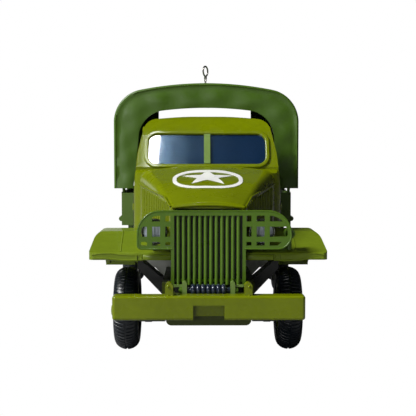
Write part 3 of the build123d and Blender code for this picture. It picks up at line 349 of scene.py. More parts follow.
def mirrored(obj):
    """Own copy of a piece on the other side of the truck."""
    only(obj)
    bpy.ops.object.duplicate()
    piece = bpy.context.object
    piece.scale = (-1, 1, 1)
    settle(piece)
    open_mesh(piece)
    bpy.ops.mesh.flip_normals()
    bpy.ops.object.mode_set(mode="OBJECT")
    return piece


def both(obj):
    """A piece and its mirror image in one."""
    return joined([obj, mirrored(obj)])


def apply_modifiers(obj):
    only(obj)
    for modifier in list(obj.modifiers):
        bpy.ops.object.modifier_apply(modifier=modifier.name)
    return obj


def lay_on(obj, target, direction="-Z", lift=0.03, thickness=0.0):
    """Project a flat piece onto a node, then give it a thickness, in millimetres."""
    only(obj)
    wrap = obj.modifiers.new("lay", "SHRINKWRAP")
    wrap.target = target
    wrap.wrap_method = "PROJECT"
    wrap.wrap_mode = "ABOVE_SURFACE"
    wrap.use_project_x = direction[-1] == "X"
    wrap.use_project_y = direction[-1] == "Y"
    wrap.use_project_z = direction[-1] == "Z"
    wrap.use_negative_direction = direction[0] == "-"
    wrap.use_positive_direction = direction[0] != "-"
    wrap.offset = lift * MM
    if thickness:
        solid = obj.modifiers.new("thickness", "SOLIDIFY")
        solid.thickness = thickness * MM
        solid.offset = 1.0
    return apply_modifiers(obj)


def done(obj, name, slot, body="truck", angle=35.0, replaces=()):
    """Finish a piece: its name, finish, smooth shading and the body that it rides on."""
    clean()
    obj.name = name
    obj.data.name = name
    obj.data.materials.clear()
    obj.data.materials.append(MATERIALS[slot])
    only(obj)
    bpy.ops.object.shade_smooth_by_angle(angle=math.radians(angle))
    clean()
    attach(obj, body)
    if replaces:
        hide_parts(*replaces)
    return obj


def seen_box(node):
    """Low and high corner of a CAD node, in millimetres."""
    low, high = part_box(node)
    return [value / MM for value in low], [value / MM for value in high]


def axle_y(wheel_set):
    """Place of an axle along the truck, in millimetres."""
    low, high = seen_box(f"{wheel_set}_axle")
    return (low[1] + high[1]) / 2


# ---------------------------------------------------------------- tyres with a lugged tread

AXLE_Z = 8.2
HALF_WIDTHS = {"front": 2.375, "rear_first": 2.0, "rear_second": 2.0}
SECTION_MIDDLE = 6.45  # radius of the middle of the tyre's section
SECTION_HALF = 1.75
CARCASS_HALF = 1.56
CARCASS_SINK = 0.03
TREAD_ROWS = 64
LUG_STATIONS = 4
LUG_START = 0.16  # from the tyre's middle
LUG_REACH = 0.9  # share of the tyre's half width
LUG_HALF = 0.29  # share of the pitch
LUG_SWEEP = 0.42  # share of the pitch
LUG_ROOT = 0.25  # sunk into the carcass
LUG_FALL = 0.12  # lower at the shoulder
WALL_RIB_RADIUS = 5.7
SHOULDER_RIB_RADIUS = 6.6


def carcass(half_width):
    """The tyre's body: a section ring spun round the axle."""
    clean()
    bpy.ops.mesh.primitive_circle_add(
        vertices=28,
        radius=1.0,
        location=(0, 0, (SECTION_MIDDLE - CARCASS_SINK) * MM),
        rotation=(math.pi / 2, 0, 0),
    )
    ring = bpy.context.object
    ring.scale = (half_width * MM, CARCASS_HALF * MM, 1)
    settle(ring)
    open_mesh(ring)
    bpy.ops.mesh.spin(steps=84, angle=2 * math.pi, center=(0, 0, 0), axis=(1, 0, 0))
    bpy.ops.mesh.select_all(action="SELECT")
    bpy.ops.mesh.remove_doubles(threshold=0.002 * MM)
    bpy.ops.mesh.normals_make_consistent(inside=False)
    bpy.ops.object.mode_set(mode="OBJECT")
    return ring


def crown(x, half_width, half):
    """Radius of the tyre's surface at a distance from its middle."""
    return SECTION_MIDDLE + half * math.sqrt(max(0.0, 1 - (x / half_width) ** 2))


def tread(half_width):
    """One curved lug, its staggered partner, and both repeated round the axle."""
    inner, outer = LUG_START, half_width * LUG_REACH
    pitch = 2 * math.pi * (SECTION_MIDDLE + SECTION_HALF) / TREAD_ROWS
    lug = box((inner, -LUG_HALF * pitch, 0), (outer, LUG_HALF * pitch, 1))
    pick(lug, "EDGE", lambda edge: abs(edge.verts[0].co.x - edge.verts[1].co.x) > 0.5 * MM)
    bpy.ops.mesh.subdivide(number_cuts=LUG_STATIONS - 1)
    bpy.ops.object.mode_set(mode="OBJECT")
    for station in range(LUG_STATIONS + 1):
        share = station / LUG_STATIONS
        x = inner + (outer - inner) * share
        low = crown(x, half_width, CARCASS_HALF) - LUG_ROOT
        high = crown(x, half_width, SECTION_HALF - LUG_FALL * share**2)
        for at_top, z in ((True, high - 1), (False, low)):
            pick(
                lug,
                "VERT",
                lambda vert: abs(vert.co.x - x * MM) < 0.01 * MM
                and (vert.co.z > 0.5 * MM if at_top else abs(vert.co.z) < 0.01 * MM),
            )
            drift = LUG_SWEEP * pitch * share**2
            bpy.ops.transform.translate(value=(0, drift * MM, z * MM))
            bpy.ops.object.mode_set(mode="OBJECT")
    pick(lug, "FACE", lambda face: face.normal.z > 0.6)
    bpy.ops.mesh.bevel(offset=0.07 * MM, segments=1, affect="EDGES")
    bpy.ops.object.mode_set(mode="OBJECT")
    partner = mirrored(lug)
    partner.rotation_euler.x = math.pi / TREAD_ROWS
    settle(partner)
    lugs = joined([lug, partner])
    open_mesh(lugs)
    bpy.ops.mesh.spin(
        steps=TREAD_ROWS - 1,
        dupli=True,
        angle=2 * math.pi * (TREAD_ROWS - 1) / TREAD_ROWS,
        center=(0, 0, 0),
        axis=(1, 0, 0),
    )
    bpy.ops.object.mode_set(mode="OBJECT")
    return lugs


def wall_rib(x, radius, height):
    """Raised rib round a tyre's side wall."""
    return torus((x, 0, 0), radius, height, (0, math.pi / 2, 0), (84, 8))


def add_tyres():
    """Six tyres: two for each turning axle, in one piece for each axle."""
    for wheel_set, half_width in HALF_WIDTHS.items():
        track = seen_box(f"{wheel_set}_tyres")[1][0] - half_width
        parts = [carcass(half_width), tread(half_width)]
        for side in SIDES:
            at_rib = half_width * math.sqrt(1 - ((WALL_RIB_RADIUS - SECTION_MIDDLE) / CARCASS_HALF) ** 2)
            parts.append(wall_rib(side * (at_rib - 0.03), WALL_RIB_RADIUS, 0.12))
            parts.append(wall_rib(side * (half_width - 0.09), SHOULDER_RIB_RADIUS, 0.08))
        tyre = joined(parts)
        left = copy_of(tyre, move=(track, axle_y(wheel_set), AXLE_Z))
        right = copy_of(tyre, move=(-track, axle_y(wheel_set), AXLE_Z))
        bpy.data.objects.remove(tyre)
        done(
            joined([left, right]),
            f"{wheel_set}_treaded_tyres",
            "tyre_rubber",
            body=f"{wheel_set}_wheels",
            angle=38,
            replaces=(f"{wheel_set}_tyres",),
        )


add_tyres()


# ---------------------------------------------------------------- moulded canvas cover

COVER_LOW, COVER_HIGH = seen_box("cargo_cover")
COVER_FRONT = COVER_LOW[1]
COVER_BACK = COVER_HIGH[1]
COVER_LENGTH = COVER_BACK - COVER_FRONT
COVER_HEM = 30.3
COVER_WALL = 0.85
# Half an outline runs from its hem to the middle of its top. The bends are
# points that the arcs between its corners go through, and None is straight.
OUTER = ((22.4, COVER_HEM), (22.4, 46.0), (16.0, 54.15), (0.0, 55.75))
OUTER_BENDS = (None, (20.65, 51.3), (8.1, 55.33))
FRONT_HOLE = ((17.7, COVER_HEM), (16.3, 43.6), (11.2, 49.0), (0.0, 49.74))
FRONT_BENDS = (None, (14.5, 47.1), (5.6, 49.56))
REAR_HOLE = ((14.9, COVER_HEM), (14.9, 45.0), (14.75, 53.1), (0.0, 53.2))
REAR_BENDS = (None, None, None)
COVER_STEPS = (16, 18, 18)
FRONT_SHARES = (0.0, 0.04, 0.12, 0.3, 0.5, 0.7, 0.88)  # of the way out to the skin
REAR_SHARES = (0.5, 0.3, 0.1, 0.0)
FRONT_SET_BACK = 0.22
REAR_SET_BACK = 0.03
END_ROLL = ((0.42, 0.03), (0.15, 0.16), (0.03, 0.42))  # in from the skin and from the end
SKIN_ROWS = 70
SKIN_INSET = 0.6
BOWS = 6
BOW_INSET = 3.0  # first and last bow from the cover's ends
BOW_SAG = 0.3
BOW_RADIUS = 0.38
BOW_DEPTH = 1.7
BOW_FOOT_X = 20.2


def arc_through(a, b, c, share):
    """Point at a share of the way along the arc from a through b to c."""
    ax, ay = a
    bx, by = b
    cx, cy = c
    d = 2 * (ax * (by - cy) + bx * (cy - ay) + cx * (ay - by))
    a_square, b_square, c_square = ax**2 + ay**2, bx**2 + by**2, cx**2 + cy**2
    ux = (a_square * (by - cy) + b_square * (cy - ay) + c_square * (ay - by)) / d
    uy = (a_square * (cx - bx) + b_square * (ax - cx) + c_square * (bx - ax)) / d
    start = math.atan2(ay - uy, ax - ux)
    turn = math.atan2(cy - uy, cx - ux) - start
    turn = (turn + math.pi) % (2 * math.pi) - math.pi
    radius = math.hypot(ax - ux, ay - uy)
    angle = start + turn * share
    return ux + radius * math.cos(angle), uy + radius * math.sin(angle)


def blend(start, end, share):
    """Point at a share of the way from start to end."""
    return tuple(a + (b - a) * share for a, b in zip(start, end))


def outline(anchors, bends):
    """Points from the left hem over the top to the right hem."""
    half = []
    for start, end, bend, steps in zip(anchors, anchors[1:], bends, COVER_STEPS):
        for step in range(steps):
            share = step / steps
            half.append(arc_through(start, bend, end, share) if bend else blend(start, end, share))
    half.append(anchors[-1])
    return half + [(-x, z) for x, z in reversed(half[:-1])]


def inward(points):
    """Unit direction into the cover at each point of its outline."""
    rows = []
    for index in range(len(points)):
        before = points[max(0, index - 1)]
        after = points[min(len(points) - 1, index + 1)]
        dx, dz = after[0] - before[0], after[1] - before[1]
        size = math.hypot(dx, dz)
        rows.append((-dz / size, dx / size))
    return rows


def swell(x, z, share):
    """How far the front band bulges forward."""
    ripple = 0.12 * math.sin(x * 0.9 + z * 0.35) + 0.1 * math.sin(x * 0.5 - z * 1.1 + 2)
    return math.sin(math.pi * min(1, share * 1.15)) * (0.2 + ripple)


def sag(x, y, z):
    """How far the skin sinks between the bows and in its wrinkles."""
    along = (y - COVER_FRONT - BOW_INSET) / (COVER_LENGTH - 2 * BOW_INSET) * (BOWS - 1)
    slack = abs(math.sin(math.pi * along)) ** 1.6
    over = max(0.0, min(1.0, (z - 34) / 10))
    fold = math.sin(y * 0.55 + z * 0.8) * math.sin(y * 0.21 - z * 0.3 + 1.3)
    crease = math.sin(y * 1.3 - x * 0.5 + 0.7) * 0.4 * math.sin(x * 0.28 + y * 0.11)
    near_end = min(1, (y - COVER_FRONT) / BOW_INSET, (COVER_BACK - y) / BOW_INSET)
    between_bows = BOW_SAG * slack * (0.35 + 0.65 * over)
    return between_bows + near_end * (0.09 + 0.06 * fold + 0.05 * crease)


def sunk(points, leans, y, depths):
    """A row of the outline's points, each moved into the cover by its depth."""
    rows = zip(points, leans, depths)
    return [(x + dx * depth, y, z + dz * depth) for (x, z), (dx, dz), depth in rows]


def cover_rows():
    """Rows of points over the front band, the skin and the rear band, in millimetres."""
    outer = outline(OUTER, OUTER_BENDS)
    front = outline(FRONT_HOLE, FRONT_BENDS)
    rear = outline(REAR_HOLE, REAR_BENDS)
    leans = inward(outer)
    rows = []
    for share in FRONT_SHARES:
        band = [blend(start, end, share) for start, end in zip(front, outer)]
        rows.append([(x, COVER_FRONT + FRONT_SET_BACK - swell(x, z, share), z) for x, z in band])
    for drop, back in END_ROLL:
        rows.append(sunk(outer, leans, COVER_FRONT + back, [drop] * len(outer)))
    for step in range(1, SKIN_ROWS):
        y = COVER_FRONT + SKIN_INSET + (COVER_LENGTH - 2 * SKIN_INSET) * step / SKIN_ROWS
        rows.append(sunk(outer, leans, y, [sag(x, y, z) for x, z in outer]))
    for drop, back in reversed(END_ROLL):
        rows.append(sunk(outer, leans, COVER_BACK - back, [drop] * len(outer)))
    for share in REAR_SHARES:
        band = [blend(start, end, share) for start, end in zip(rear, outer)]
        rows.append([(x, COVER_BACK - REAR_SET_BACK, z) for x, z in band])
    return rows


def add_cover():
    """One sheet over the bows, thickened inwards."""
    rows = cover_rows()
    width = len(rows[0])
    points = [Vector(point) * MM for row in rows for point in row]
    faces = []
    for r in range(len(rows) - 1):
        for c in range(width - 1):
            a = r * width + c
            faces.append((a, a + 1, a + width + 1, a + width))
    mesh = bpy.data.meshes.new("cover_skin")
    mesh.from_pydata(points, [], faces)
    skin = bpy.data.objects.new("cover_skin", mesh)
    bpy.context.scene.collection.objects.link(skin)
    open_mesh(skin)
    bpy.ops.mesh.normals_make_consistent(inside=False)
    bpy.ops.object.mode_set(mode="OBJECT")
    top = max(skin.data.polygons, key=lambda face: face.center.z)
    if top.normal.z < 0:
        open_mesh(skin)
        bpy.ops.mesh.flip_normals()
        bpy.ops.object.mode_set(mode="OBJECT")
    solid = skin.modifiers.new("thickness", "SOLIDIFY")
    solid.thickness = COVER_WALL * MM
    solid.offset = -1.0
    solid.use_even_offset = False
    apply_modifiers(skin)
    done(skin, "wrinkled_cover", "cover_plastic", angle=50, replaces=("cargo_cover",))


def add_bows():
    """Arched bows inside the cover, standing on the bed's walls."""
    wall_top = seen_box("cargo_bed")[1][2]
    outer = outline(OUTER, OUTER_BENDS)
    arch = outer[6:-6:5]
    leans = inward(outer)[6:-6:5]
    bows = []
    for bow in range(BOWS):
        y = COVER_FRONT + BOW_INSET + (COVER_LENGTH - 2 * BOW_INSET) * bow / (BOWS - 1)
        path = [(BOW_FOOT_X, y, wall_top)]
        path += sunk(arch, leans, y, [BOW_DEPTH] * len(arch))
        path.append((-BOW_FOOT_X, y, wall_top))
        bows.append(rod(path, BOW_RADIUS, 8))
    done(joined(bows), "cover_bows", "cover_plastic")


add_cover()
add_bows()


# ---------------------------------------------------------------- star and ring on the hood

LAID_FROM = 50.0  # height from which a mark is laid down on the hood
MARK_LIFT = 0.035
MARK_THICKNESS = 0.05
STAR_PLACE = (0.0, -43.2)
STAR_RADIUS = 5.4
STAR_WAIST = 2.2
RING_PLACE = (0.0, -43.85)
RING_HALF = (7.0, 6.45)
RING_CORNER = 5.6
RING_BAND = (0.8, 1.5)  # across and along the truck
RING_SHIFT = -0.35  # the band is wider behind than in front
FIRST_INSET = 0.1


def add_mark(piece, name):
    """Lay a flat mark on the hood and finish it."""
    lay_on(piece, nodes["hood"], lift=MARK_LIFT, thickness=MARK_THICKNESS)
    done(piece, name, "white_marking")


def add_star():
    """Five-pointed star: a ten-sided circle with every second corner drawn in."""
    clean()
    bpy.ops.mesh.primitive_circle_add(
        vertices=10,
        radius=STAR_RADIUS * MM,
        fill_type="TRIFAN",
        location=Vector((*STAR_PLACE, LAID_FROM)) * MM,
    )
    star = bpy.context.object
    middle = star.location.copy()
    settle(star)

    def waist(vert):
        offset = vert.co - middle
        angle = math.degrees(math.atan2(offset.x, offset.y)) % 72
        return offset.length > 1 * MM and 18 < angle < 54

    pick(star, "VERT", waist)
    share = STAR_WAIST / STAR_RADIUS
    bpy.ops.transform.resize(value=(share, share, 1), center_override=middle)
    bpy.ops.mesh.select_all(action="SELECT")
    bpy.ops.mesh.subdivide(number_cuts=7)
    bpy.ops.object.mode_set(mode="OBJECT")
    add_mark(star, "hood_star")


def add_ring():
    """Oval band: a rounded plane with an inset hole that is cut out."""
    clean()
    bpy.ops.mesh.primitive_plane_add(size=1, location=Vector((*RING_PLACE, LAID_FROM)) * MM)
    ring = bpy.context.object
    ring.scale = (2 * RING_HALF[0] * MM, 2 * RING_HALF[1] * MM, 1)
    middle = ring.location.copy()
    settle(ring)
    pick(ring, "VERT", lambda vert: True)
    bpy.ops.mesh.bevel(offset=RING_CORNER * MM, segments=22, affect="VERTICES")
    bpy.ops.object.mode_set(mode="OBJECT")
    pick(ring, "FACE", lambda face: True)
    bpy.ops.mesh.inset(thickness=FIRST_INSET * MM)
    hole = [(half - band) / (half - FIRST_INSET) for half, band in zip(RING_HALF, RING_BAND)]
    bpy.ops.transform.resize(value=(*hole, 1), center_override=middle)
    bpy.ops.transform.translate(value=(0, RING_SHIFT * MM, 0))
    bpy.ops.mesh.delete(type="FACE")
    bpy.ops.mesh.select_all(action="SELECT")
    bpy.ops.mesh.subdivide(number_cuts=3)
    bpy.ops.object.mode_set(mode="OBJECT")
    add_mark(ring, "hood_ring")


add_star()
add_ring()


# ---------------------------------------------------------------- hood and cowl details

HOOD_FRONT = seen_box("hood")[0][1]
COWL_Y = seen_box("hood")[1][1]
HOOD_FRONT_HALF = 6.9
HOOD_BACK_HALF = 14.2
HOOD_BEAD = (
    (-57.4, 29.15),
    (-53.3, 30.75),
    (-48.0, 31.25),
    (-43.1, 31.55),
    (-38.0, 32.05),
    (-34.1, 32.5),
)
HOOD_LIP_X = (-6.7, -6.2, -4.5, -2.2, 0, 2.2, 4.5, 6.2, 6.7)
HOOD_LIP_Z = 28.96
HOOD_LIP_RISE = 0.5
LOUVRES = 15
LOUVRE_FIRST_Y = -55.6
LOUVRE_PITCH = 1.36
LOUVRE_LOW_Z = 24.2
LOUVRE_HIGH_Z = 29.6
LOUVRE_SLOPE = 0.105
LOUVRE_RADIUS = 0.22
COWL_BEAD = (
    (-14.1, 33.8),
    (-13.4, 34.75),
    (-12.3, 35.25),
    (-9.9, 35.6),
    (-6.8, 35.88),
    (-3.6, 36.1),
    (0, 36.18),
)


def hood_side_x(y):
    """Half width of the hood at a place along the truck."""
    share = (y - HOOD_FRONT) / (COWL_Y - HOOD_FRONT)
    return HOOD_FRONT_HALF + (HOOD_BACK_HALF - HOOD_FRONT_HALF) * share


def add_hood_seams():
    """Raised bead along each side of the hood and the rolled lip over the grille."""
    bead = rod([(hood_side_x(y) + 0.02, y, z) for y, z in HOOD_BEAD], 0.2, 10)
    done(both(bead), "hood_side_beads", "body_paint")
    lip = []
    for x in HOOD_LIP_X:
        lip.append((x, HOOD_FRONT + 0.12, HOOD_LIP_Z + HOOD_LIP_RISE * (1 - (x / 6.8) ** 2)))
    done(rod(lip, 0.3, 12), "hood_front_lip", "body_paint", angle=60)


def add_louvres():
    """Pressed upright ribs along both sides of the hood."""
    ribs = []
    for rib in range(LOUVRES):
        y = LOUVRE_FIRST_Y + rib * LOUVRE_PITCH
        top = LOUVRE_HIGH_Z + (y - LOUVRE_FIRST_Y) * LOUVRE_SLOPE
        x = hood_side_x(y) + 0.02
        ribs.append(bar((x, y, LOUVRE_LOW_Z), (x, y, top), LOUVRE_RADIUS, 10))
        ribs.append(ball((x, y, top), LOUVRE_RADIUS, segments=10))
    done(both(joined(ribs)), "hood_louvres", "body_paint")


def add_cowl():
    """Bead across the back of the hood with its hinges and the vent strip."""
    half = [(x, COWL_Y, z) for x, z in COWL_BEAD]
    full = half + [(-x, y, z) for x, y, z in reversed(half[:-1])]
    done(rod(full, 0.14, 10), "cowl_bead", "body_paint", angle=60)
    strip = box((-3.6, COWL_Y + 0.15, 36.02), (3.6, COWL_Y + 1.0, 36.34))
    round_edges(strip, 0.12)
    done(strip, "cowl_vent", "body_paint")
    hinge = bar((6.5, COWL_Y - 0.5, 35.78), (7.6, COWL_Y - 0.5, 35.74), 0.28, 12)
    leaf = box((6.75, COWL_Y - 0.9, 35.3), (7.4, COWL_Y + 0.9, 35.88))
    round_edges(leaf, 0.1)
    done(both(joined([hinge, leaf])), "hood_hinges", "body_paint")


# ---------------------------------------------------------------- cab details

DOOR_FRONT = COWL_Y + 3.4
DOOR_INSET = 2.6  # from the cab's back
DOOR_EDGE = (  # in from the cab's side, back from the door's front, and up
    (0.0, 0.0, 17.2),
    (0.0, 0.0, 29.4),
    (0.24, 0.1, 33.0),
    (0.52, 0.3, 36.0),
)
HINGE_HEIGHTS = (20.5, 27.5)
HANDLE_Z = 30.0
LEVER_FOOT = (1.2, -21.5, 16.9)
LEVER_TOP = (0.6, -22.5, 27.0)
DIAL_PLACES = (3.2, 5.9, 8.6)
DIAL_Z = 33.2
PIPING_PLACES = (-6.0, 0.0, 6.0)


def add_doors():
    """Door seams, hinges, handles and the drip rail over each window."""
    side, cab_back, _ = seen_box("cab")[1]
    door_back = cab_back - DOOR_INSET
    front = [(side - inset, DOOR_FRONT + rake, z) for inset, rake, z in DOOR_EDGE]
    back = [(side - inset, door_back, z) for inset, _, z in reversed(DOOR_EDGE)]
    seam = rod(front + back + [front[0]], 0.1, 8)
    done(both(seam), "door_seams", "dark_seam")
    fittings = []
    for z in HINGE_HEIGHTS:
        hinge_x, hinge_y = side + 0.02, DOOR_FRONT - 0.25
        fittings.append(bar((hinge_x, hinge_y, z - 0.7), (hinge_x, hinge_y, z + 0.7), 0.26, 12))
    handle = (
        (side - 0.1, door_back - 1.0, HANDLE_Z),
        (side + 0.42, door_back - 1.0, HANDLE_Z),
        (side + 0.42, door_back - 3.0, HANDLE_Z),
    )
    drip_rail = (
        (14.0, COWL_Y + 9.2, 43.7),
        (13.95, COWL_Y + 10.4, 44.6),
        (13.9, door_back, 44.6),
        (14.0, door_back + 1.0, 43.6),
    )
    fittings += [rod(handle, 0.2, 10), rod(drip_rail, 0.2, 10)]
    done(both(joined(fittings)), "door_fittings", "body_paint")


def add_inside():
    """Gear lever, dials on the dashboard and piping on the seat."""
    knob = (LEVER_TOP[0], LEVER_TOP[1], LEVER_TOP[2] + 0.1)
    lever = joined([bar(LEVER_FOOT, LEVER_TOP, 0.22, 10), ball(knob, 0.5)])
    done(lever, "gear_lever", "black_plastic")
    dash_back = seen_box("dashboard")[1][1]
    dials = []
    for x in DIAL_PLACES:
        dials.append(bar((x, dash_back - 0.1, DIAL_Z), (x, dash_back + 0.12, DIAL_Z), 0.75, 20))
    done(joined(dials), "dashboard_dials", "black_gloss")
    seat_low, seat_high = seen_box("seat")
    piping = []
    for x in PIPING_PLACES:
        front = seat_low[1] - 0.02
        path = ((x, front, 17.2), (x, front, 24.6), (x, seat_high[1] - 2.8, 25.35))
        piping.append(rod(path, 0.12, 8))
    done(joined(piping), "seat_piping", "black_plastic")


# ---------------------------------------------------------------- bumper and winch details

BUMPER_RIVETS = ((-10.87, 10.84), (12.08, 10.71), (16.1, 13.5), (-0.32, 13.55))
TOW_POST_X = 7.1
CABLE_TURNS = 7
CABLE_PITCH = 0.9
CABLE_LEAN = 0.09


def add_bumper_details():
    """Rivets, the nub at one end, the tow posts' studs and the strips behind the bumper."""
    low = seen_box("bumper")[0]
    rivets = []
    for x, z in BUMPER_RIVETS:
        rivets.append(ball((x, low[1] + 0.16, z), 0.24, (1, 0.62, 1), 12))
    done(joined(rivets), "bumper_rivets", "body_paint")
    nub = ball((low[0] + 0.05, low[1] + 1.2, 11.6), 0.42, (0.7, 1.4, 2.6), 16)
    done(nub, "bumper_nub", "body_paint", angle=60)
    studs = []
    for back, z in ((0.56, 15.85), (0.4, 14.2)):
        studs.append(ball((TOW_POST_X, low[1] + back, z), 0.24, segments=12))
    done(both(joined(studs)), "tow_post_studs", "body_paint", angle=60)
    strip = box((7.6, low[1] + 1.0, low[2] - 0.34), (12.2, low[1] + 1.9, low[2] + 0.1))
    round_edges(strip, 0.08)
    done(both(strip), "bumper_backing", "black_plastic")


def add_winch():
    """The drum with its turns of cable, and a bearing cap at each end."""
    low, high = seen_box("winch_drum")
    y = (low[1] + high[1]) / 2
    z = (low[2] + high[2]) / 2
    cable = [bar((low[0], y, z), (high[0], y, z), 0.55, 24)]
    for turn in range(CABLE_TURNS):
        place = ((turn - (CABLE_TURNS - 1) / 2) * CABLE_PITCH, y, z)
        cable.append(torus(place, 0.72, 0.44, (0, math.pi / 2 - CABLE_LEAN, 0), (32, 16)))
    done(joined(cable), "winch_cable", "black_gloss", angle=60, replaces=("winch_drum",))
    caps = []
    for side in SIDES:
        caps.append(bar((side * 4.65, y, z), (side * 5.2, y, z), 0.6, 20))
        caps.append(bar((side * 5.2, y, z), (side * 5.35, y, z), 0.3, 16))
    done(joined(caps), "winch_caps", "grille_plastic")


# ---------------------------------------------------------------- lamp guards

GUARD_LOW, GUARD_HIGH = 21.45, 28.65
GUARD_CORNER = 4.3
GUARD_EDGE = 0.14
GUARDS = ((-1, 13.1, 0.9), (1, 15.3, 2.6))  # side, reach and lower corner's radius


def corner(centre, radius, start, steps=8):
    """Points of a quarter turn, clockwise seen from the front on the left side."""
    points = []
    for step in range(steps + 1):
        angle = math.radians(start - 90 * step / steps)
        points.append((centre[0] + radius * math.cos(angle), centre[1] + radius * math.sin(angle)))
    return points


def add_guard_beads():
    """Rolled rim round both lamp guards."""
    y = seen_box("grille")[0][1] + 0.08
    rims = []
    for side, reach, low_corner in GUARDS:
        upper = (reach - GUARD_CORNER, GUARD_HIGH - GUARD_CORNER)
        lower = (reach - low_corner, GUARD_LOW + low_corner)
        line = [(0, GUARD_HIGH - GUARD_EDGE)]
        line += corner(upper, GUARD_CORNER - GUARD_EDGE, 90)
        line += corner(lower, low_corner - GUARD_EDGE, 0)
        line.append((6.6, GUARD_LOW + GUARD_EDGE))
        rims.append(rod([(side * x, y, z) for x, z in line], 0.15, 8))
    done(joined(rims), "guard_beads", "grille_plastic", angle=60)


# ---------------------------------------------------------------- lamps

LENS_RADIUS = 2.0
RIB_REACH = 1.9
RIB_PLACES = (-1.2, -0.6, 0.0, 0.6, 1.2)


def add_lamps():
    """Ribbed lens and rim ring with its screw for each headlamp."""
    low, high = seen_box("headlamp_lenses")
    x = high[0] - LENS_RADIUS
    z = (low[2] + high[2]) / 2
    face = low[1]
    ribs = []
    for place in RIB_PLACES:
        reach = math.sqrt(RIB_REACH**2 - place**2)
        ribs.append(bar((x + place, face, z - reach), (x + place, face, z + reach), 0.07, 8))
    done(both(joined(ribs)), "lens_ribs", "lamp_glass")
    rim = torus((x, face + 0.02, z), 2.28, 0.17, (math.pi / 2, 0, 0), (48, 10))
    screw = ball((x, face - 0.1, z - 2.3), 0.22, segments=10)
    done(both(joined([rim, screw])), "lamp_rims", "lamp_metal", angle=60)


# ---------------------------------------------------------------- running boards, chassis and bed

BOARD_RIBS = 5
BOARD_RIB_FIRST_X = 17.0
BOARD_RIB_PITCH = 1.05
RAIL_RIVET_Z = 13.9
RAIL_RIVET_PITCH = 7.5
SPRING_X = 7.95
LEAF_HALVES = (8.6, 6.4, 4.2)
LEAF_TOP_Z = 10.55
LEAF_PITCH = 0.24
COVER_BOLTS = 8
COVER_BOLT_CIRCLE = 2.1
COVER_BOLT_AHEAD = 2.6
PLANKS = 9
PLANK_HALF = 20.0
HOOKS = 7
HOOK_PITCH = 10.2
GATE_HINGES = (-12.0, 0.0, 12.0)


def add_board_ribs():
    """Tread ribs along both running boards."""
    low, high = seen_box("running_boards")
    ribs = []
    for rib in range(BOARD_RIBS):
        x = BOARD_RIB_FIRST_X + rib * BOARD_RIB_PITCH
        ribs.append(bar((x, low[1] + 1.0, high[2]), (x, high[1] - 1.0, high[2]), 0.14, 8))
    done(both(joined(ribs)), "board_ribs", "fender_paint")


def add_chassis_details():
    """Rivets on the rails, front spring leaves with clamps and the axles' cover bolts."""
    low, high = seen_box("chassis")
    rivets = []
    y = low[1] + 4.0
    while y < high[1] - 2:
        rivets.append(ball((high[0] + 0.02, y, RAIL_RIVET_Z), 0.22, segments=8))
        y += RAIL_RIVET_PITCH
    done(both(joined(rivets)), "rail_rivets", "chassis_paint", angle=60)
    middle = axle_y("front")
    springs = []
    for leaf, half in enumerate(LEAF_HALVES):
        z = LEAF_TOP_Z - leaf * LEAF_PITCH
        inner, outer = SPRING_X - 0.8, SPRING_X + 0.8
        springs.append(box((inner, middle - half, z - 0.1), (outer, middle + half, z + 0.1)))
    for y in (middle - 1.3, middle + 1.3):
        springs.append(bar((SPRING_X + 0.85, y, 9.0), (SPRING_X + 0.85, y, 11.2), 0.16, 8))
    done(both(joined(springs)), "spring_leaves", "chassis_paint")
    bolts = []
    for wheel_set in HALF_WIDTHS:
        for step in range(COVER_BOLTS):
            angle = math.tau * step / COVER_BOLTS
            x = COVER_BOLT_CIRCLE * math.sin(angle)
            z = AXLE_Z + COVER_BOLT_CIRCLE * math.cos(angle)
            bolts.append(ball((x, axle_y(wheel_set) - COVER_BOLT_AHEAD, z), 0.24, segments=8))
    done(joined(bolts), "axle_cover_bolts", "chassis_paint", angle=60)


def add_bed_details():
    """Plank lines on the bed's floor, tie hooks on its sides and tailgate hinges."""
    low, high = seen_box("cargo_bed")
    seams = []
    for plank in range(1, PLANKS):
        x = -PLANK_HALF + plank * 2 * PLANK_HALF / PLANKS
        seams.append(box((x - 0.07, low[1] + 1.1, 22.18), (x + 0.07, high[1] - 0.2, 22.24)))
    done(joined(seams), "plank_seams", "dark_seam")
    hooks = []
    for hook in range(HOOKS):
        y = low[1] + 5.5 + hook * HOOK_PITCH
        hooks.append(rod([(20.5, y, 25.2), (20.84, y, 25.1), (20.84, y, 24.6)], 0.14, 8))
    done(both(joined(hooks)), "tie_hooks", "bed_plastic")
    hinges = []
    for x in GATE_HINGES:
        y = high[1] + 0.6
        hinges.append(bar((x - 1.0, y, 21.35), (x + 1.0, y, 21.35), 0.35, 12))
    done(joined(hinges), "tailgate_hinges", "bed_plastic")


def add_tanks():
    """Straps and filler cap on the tank, lid seam and latch on the tool box."""
    low, high = seen_box("fuel_tank")
    straps = []
    for y in (low[1] + 3.0, high[1] - 3.0):
        strap = box((low[0] - 0.12, y - 0.5, low[2] + 1.9), (low[0] + 0.2, y + 0.5, high[2] - 0.1))
        straps.append(round_edges(strap, 0.08))
    cap_x, cap_y = low[0] + 2.6, low[1] + 7
    straps.append(bar((cap_x, cap_y, high[2] - 0.1), (cap_x, cap_y, high[2] + 0.5), 1.1, 24))
    done(joined(straps), "tank_straps", "bed_plastic")
    low, high = seen_box("tool_box")
    middle = (low[1] + high[1]) / 2
    latch = box((high[0] - 0.1, middle - 0.7, 15.6), (high[0] + 0.22, middle + 0.7, 17.2))
    round_edges(latch, 0.1)
    seam = box((high[0] - 0.1, low[1] + 0.5, 17.3), (high[0] + 0.05, high[1] - 0.5, 17.45))
    done(joined([latch, seam]), "tool_box_latch", "bed_plastic")


# ---------------------------------------------------------------- twisted wire loop

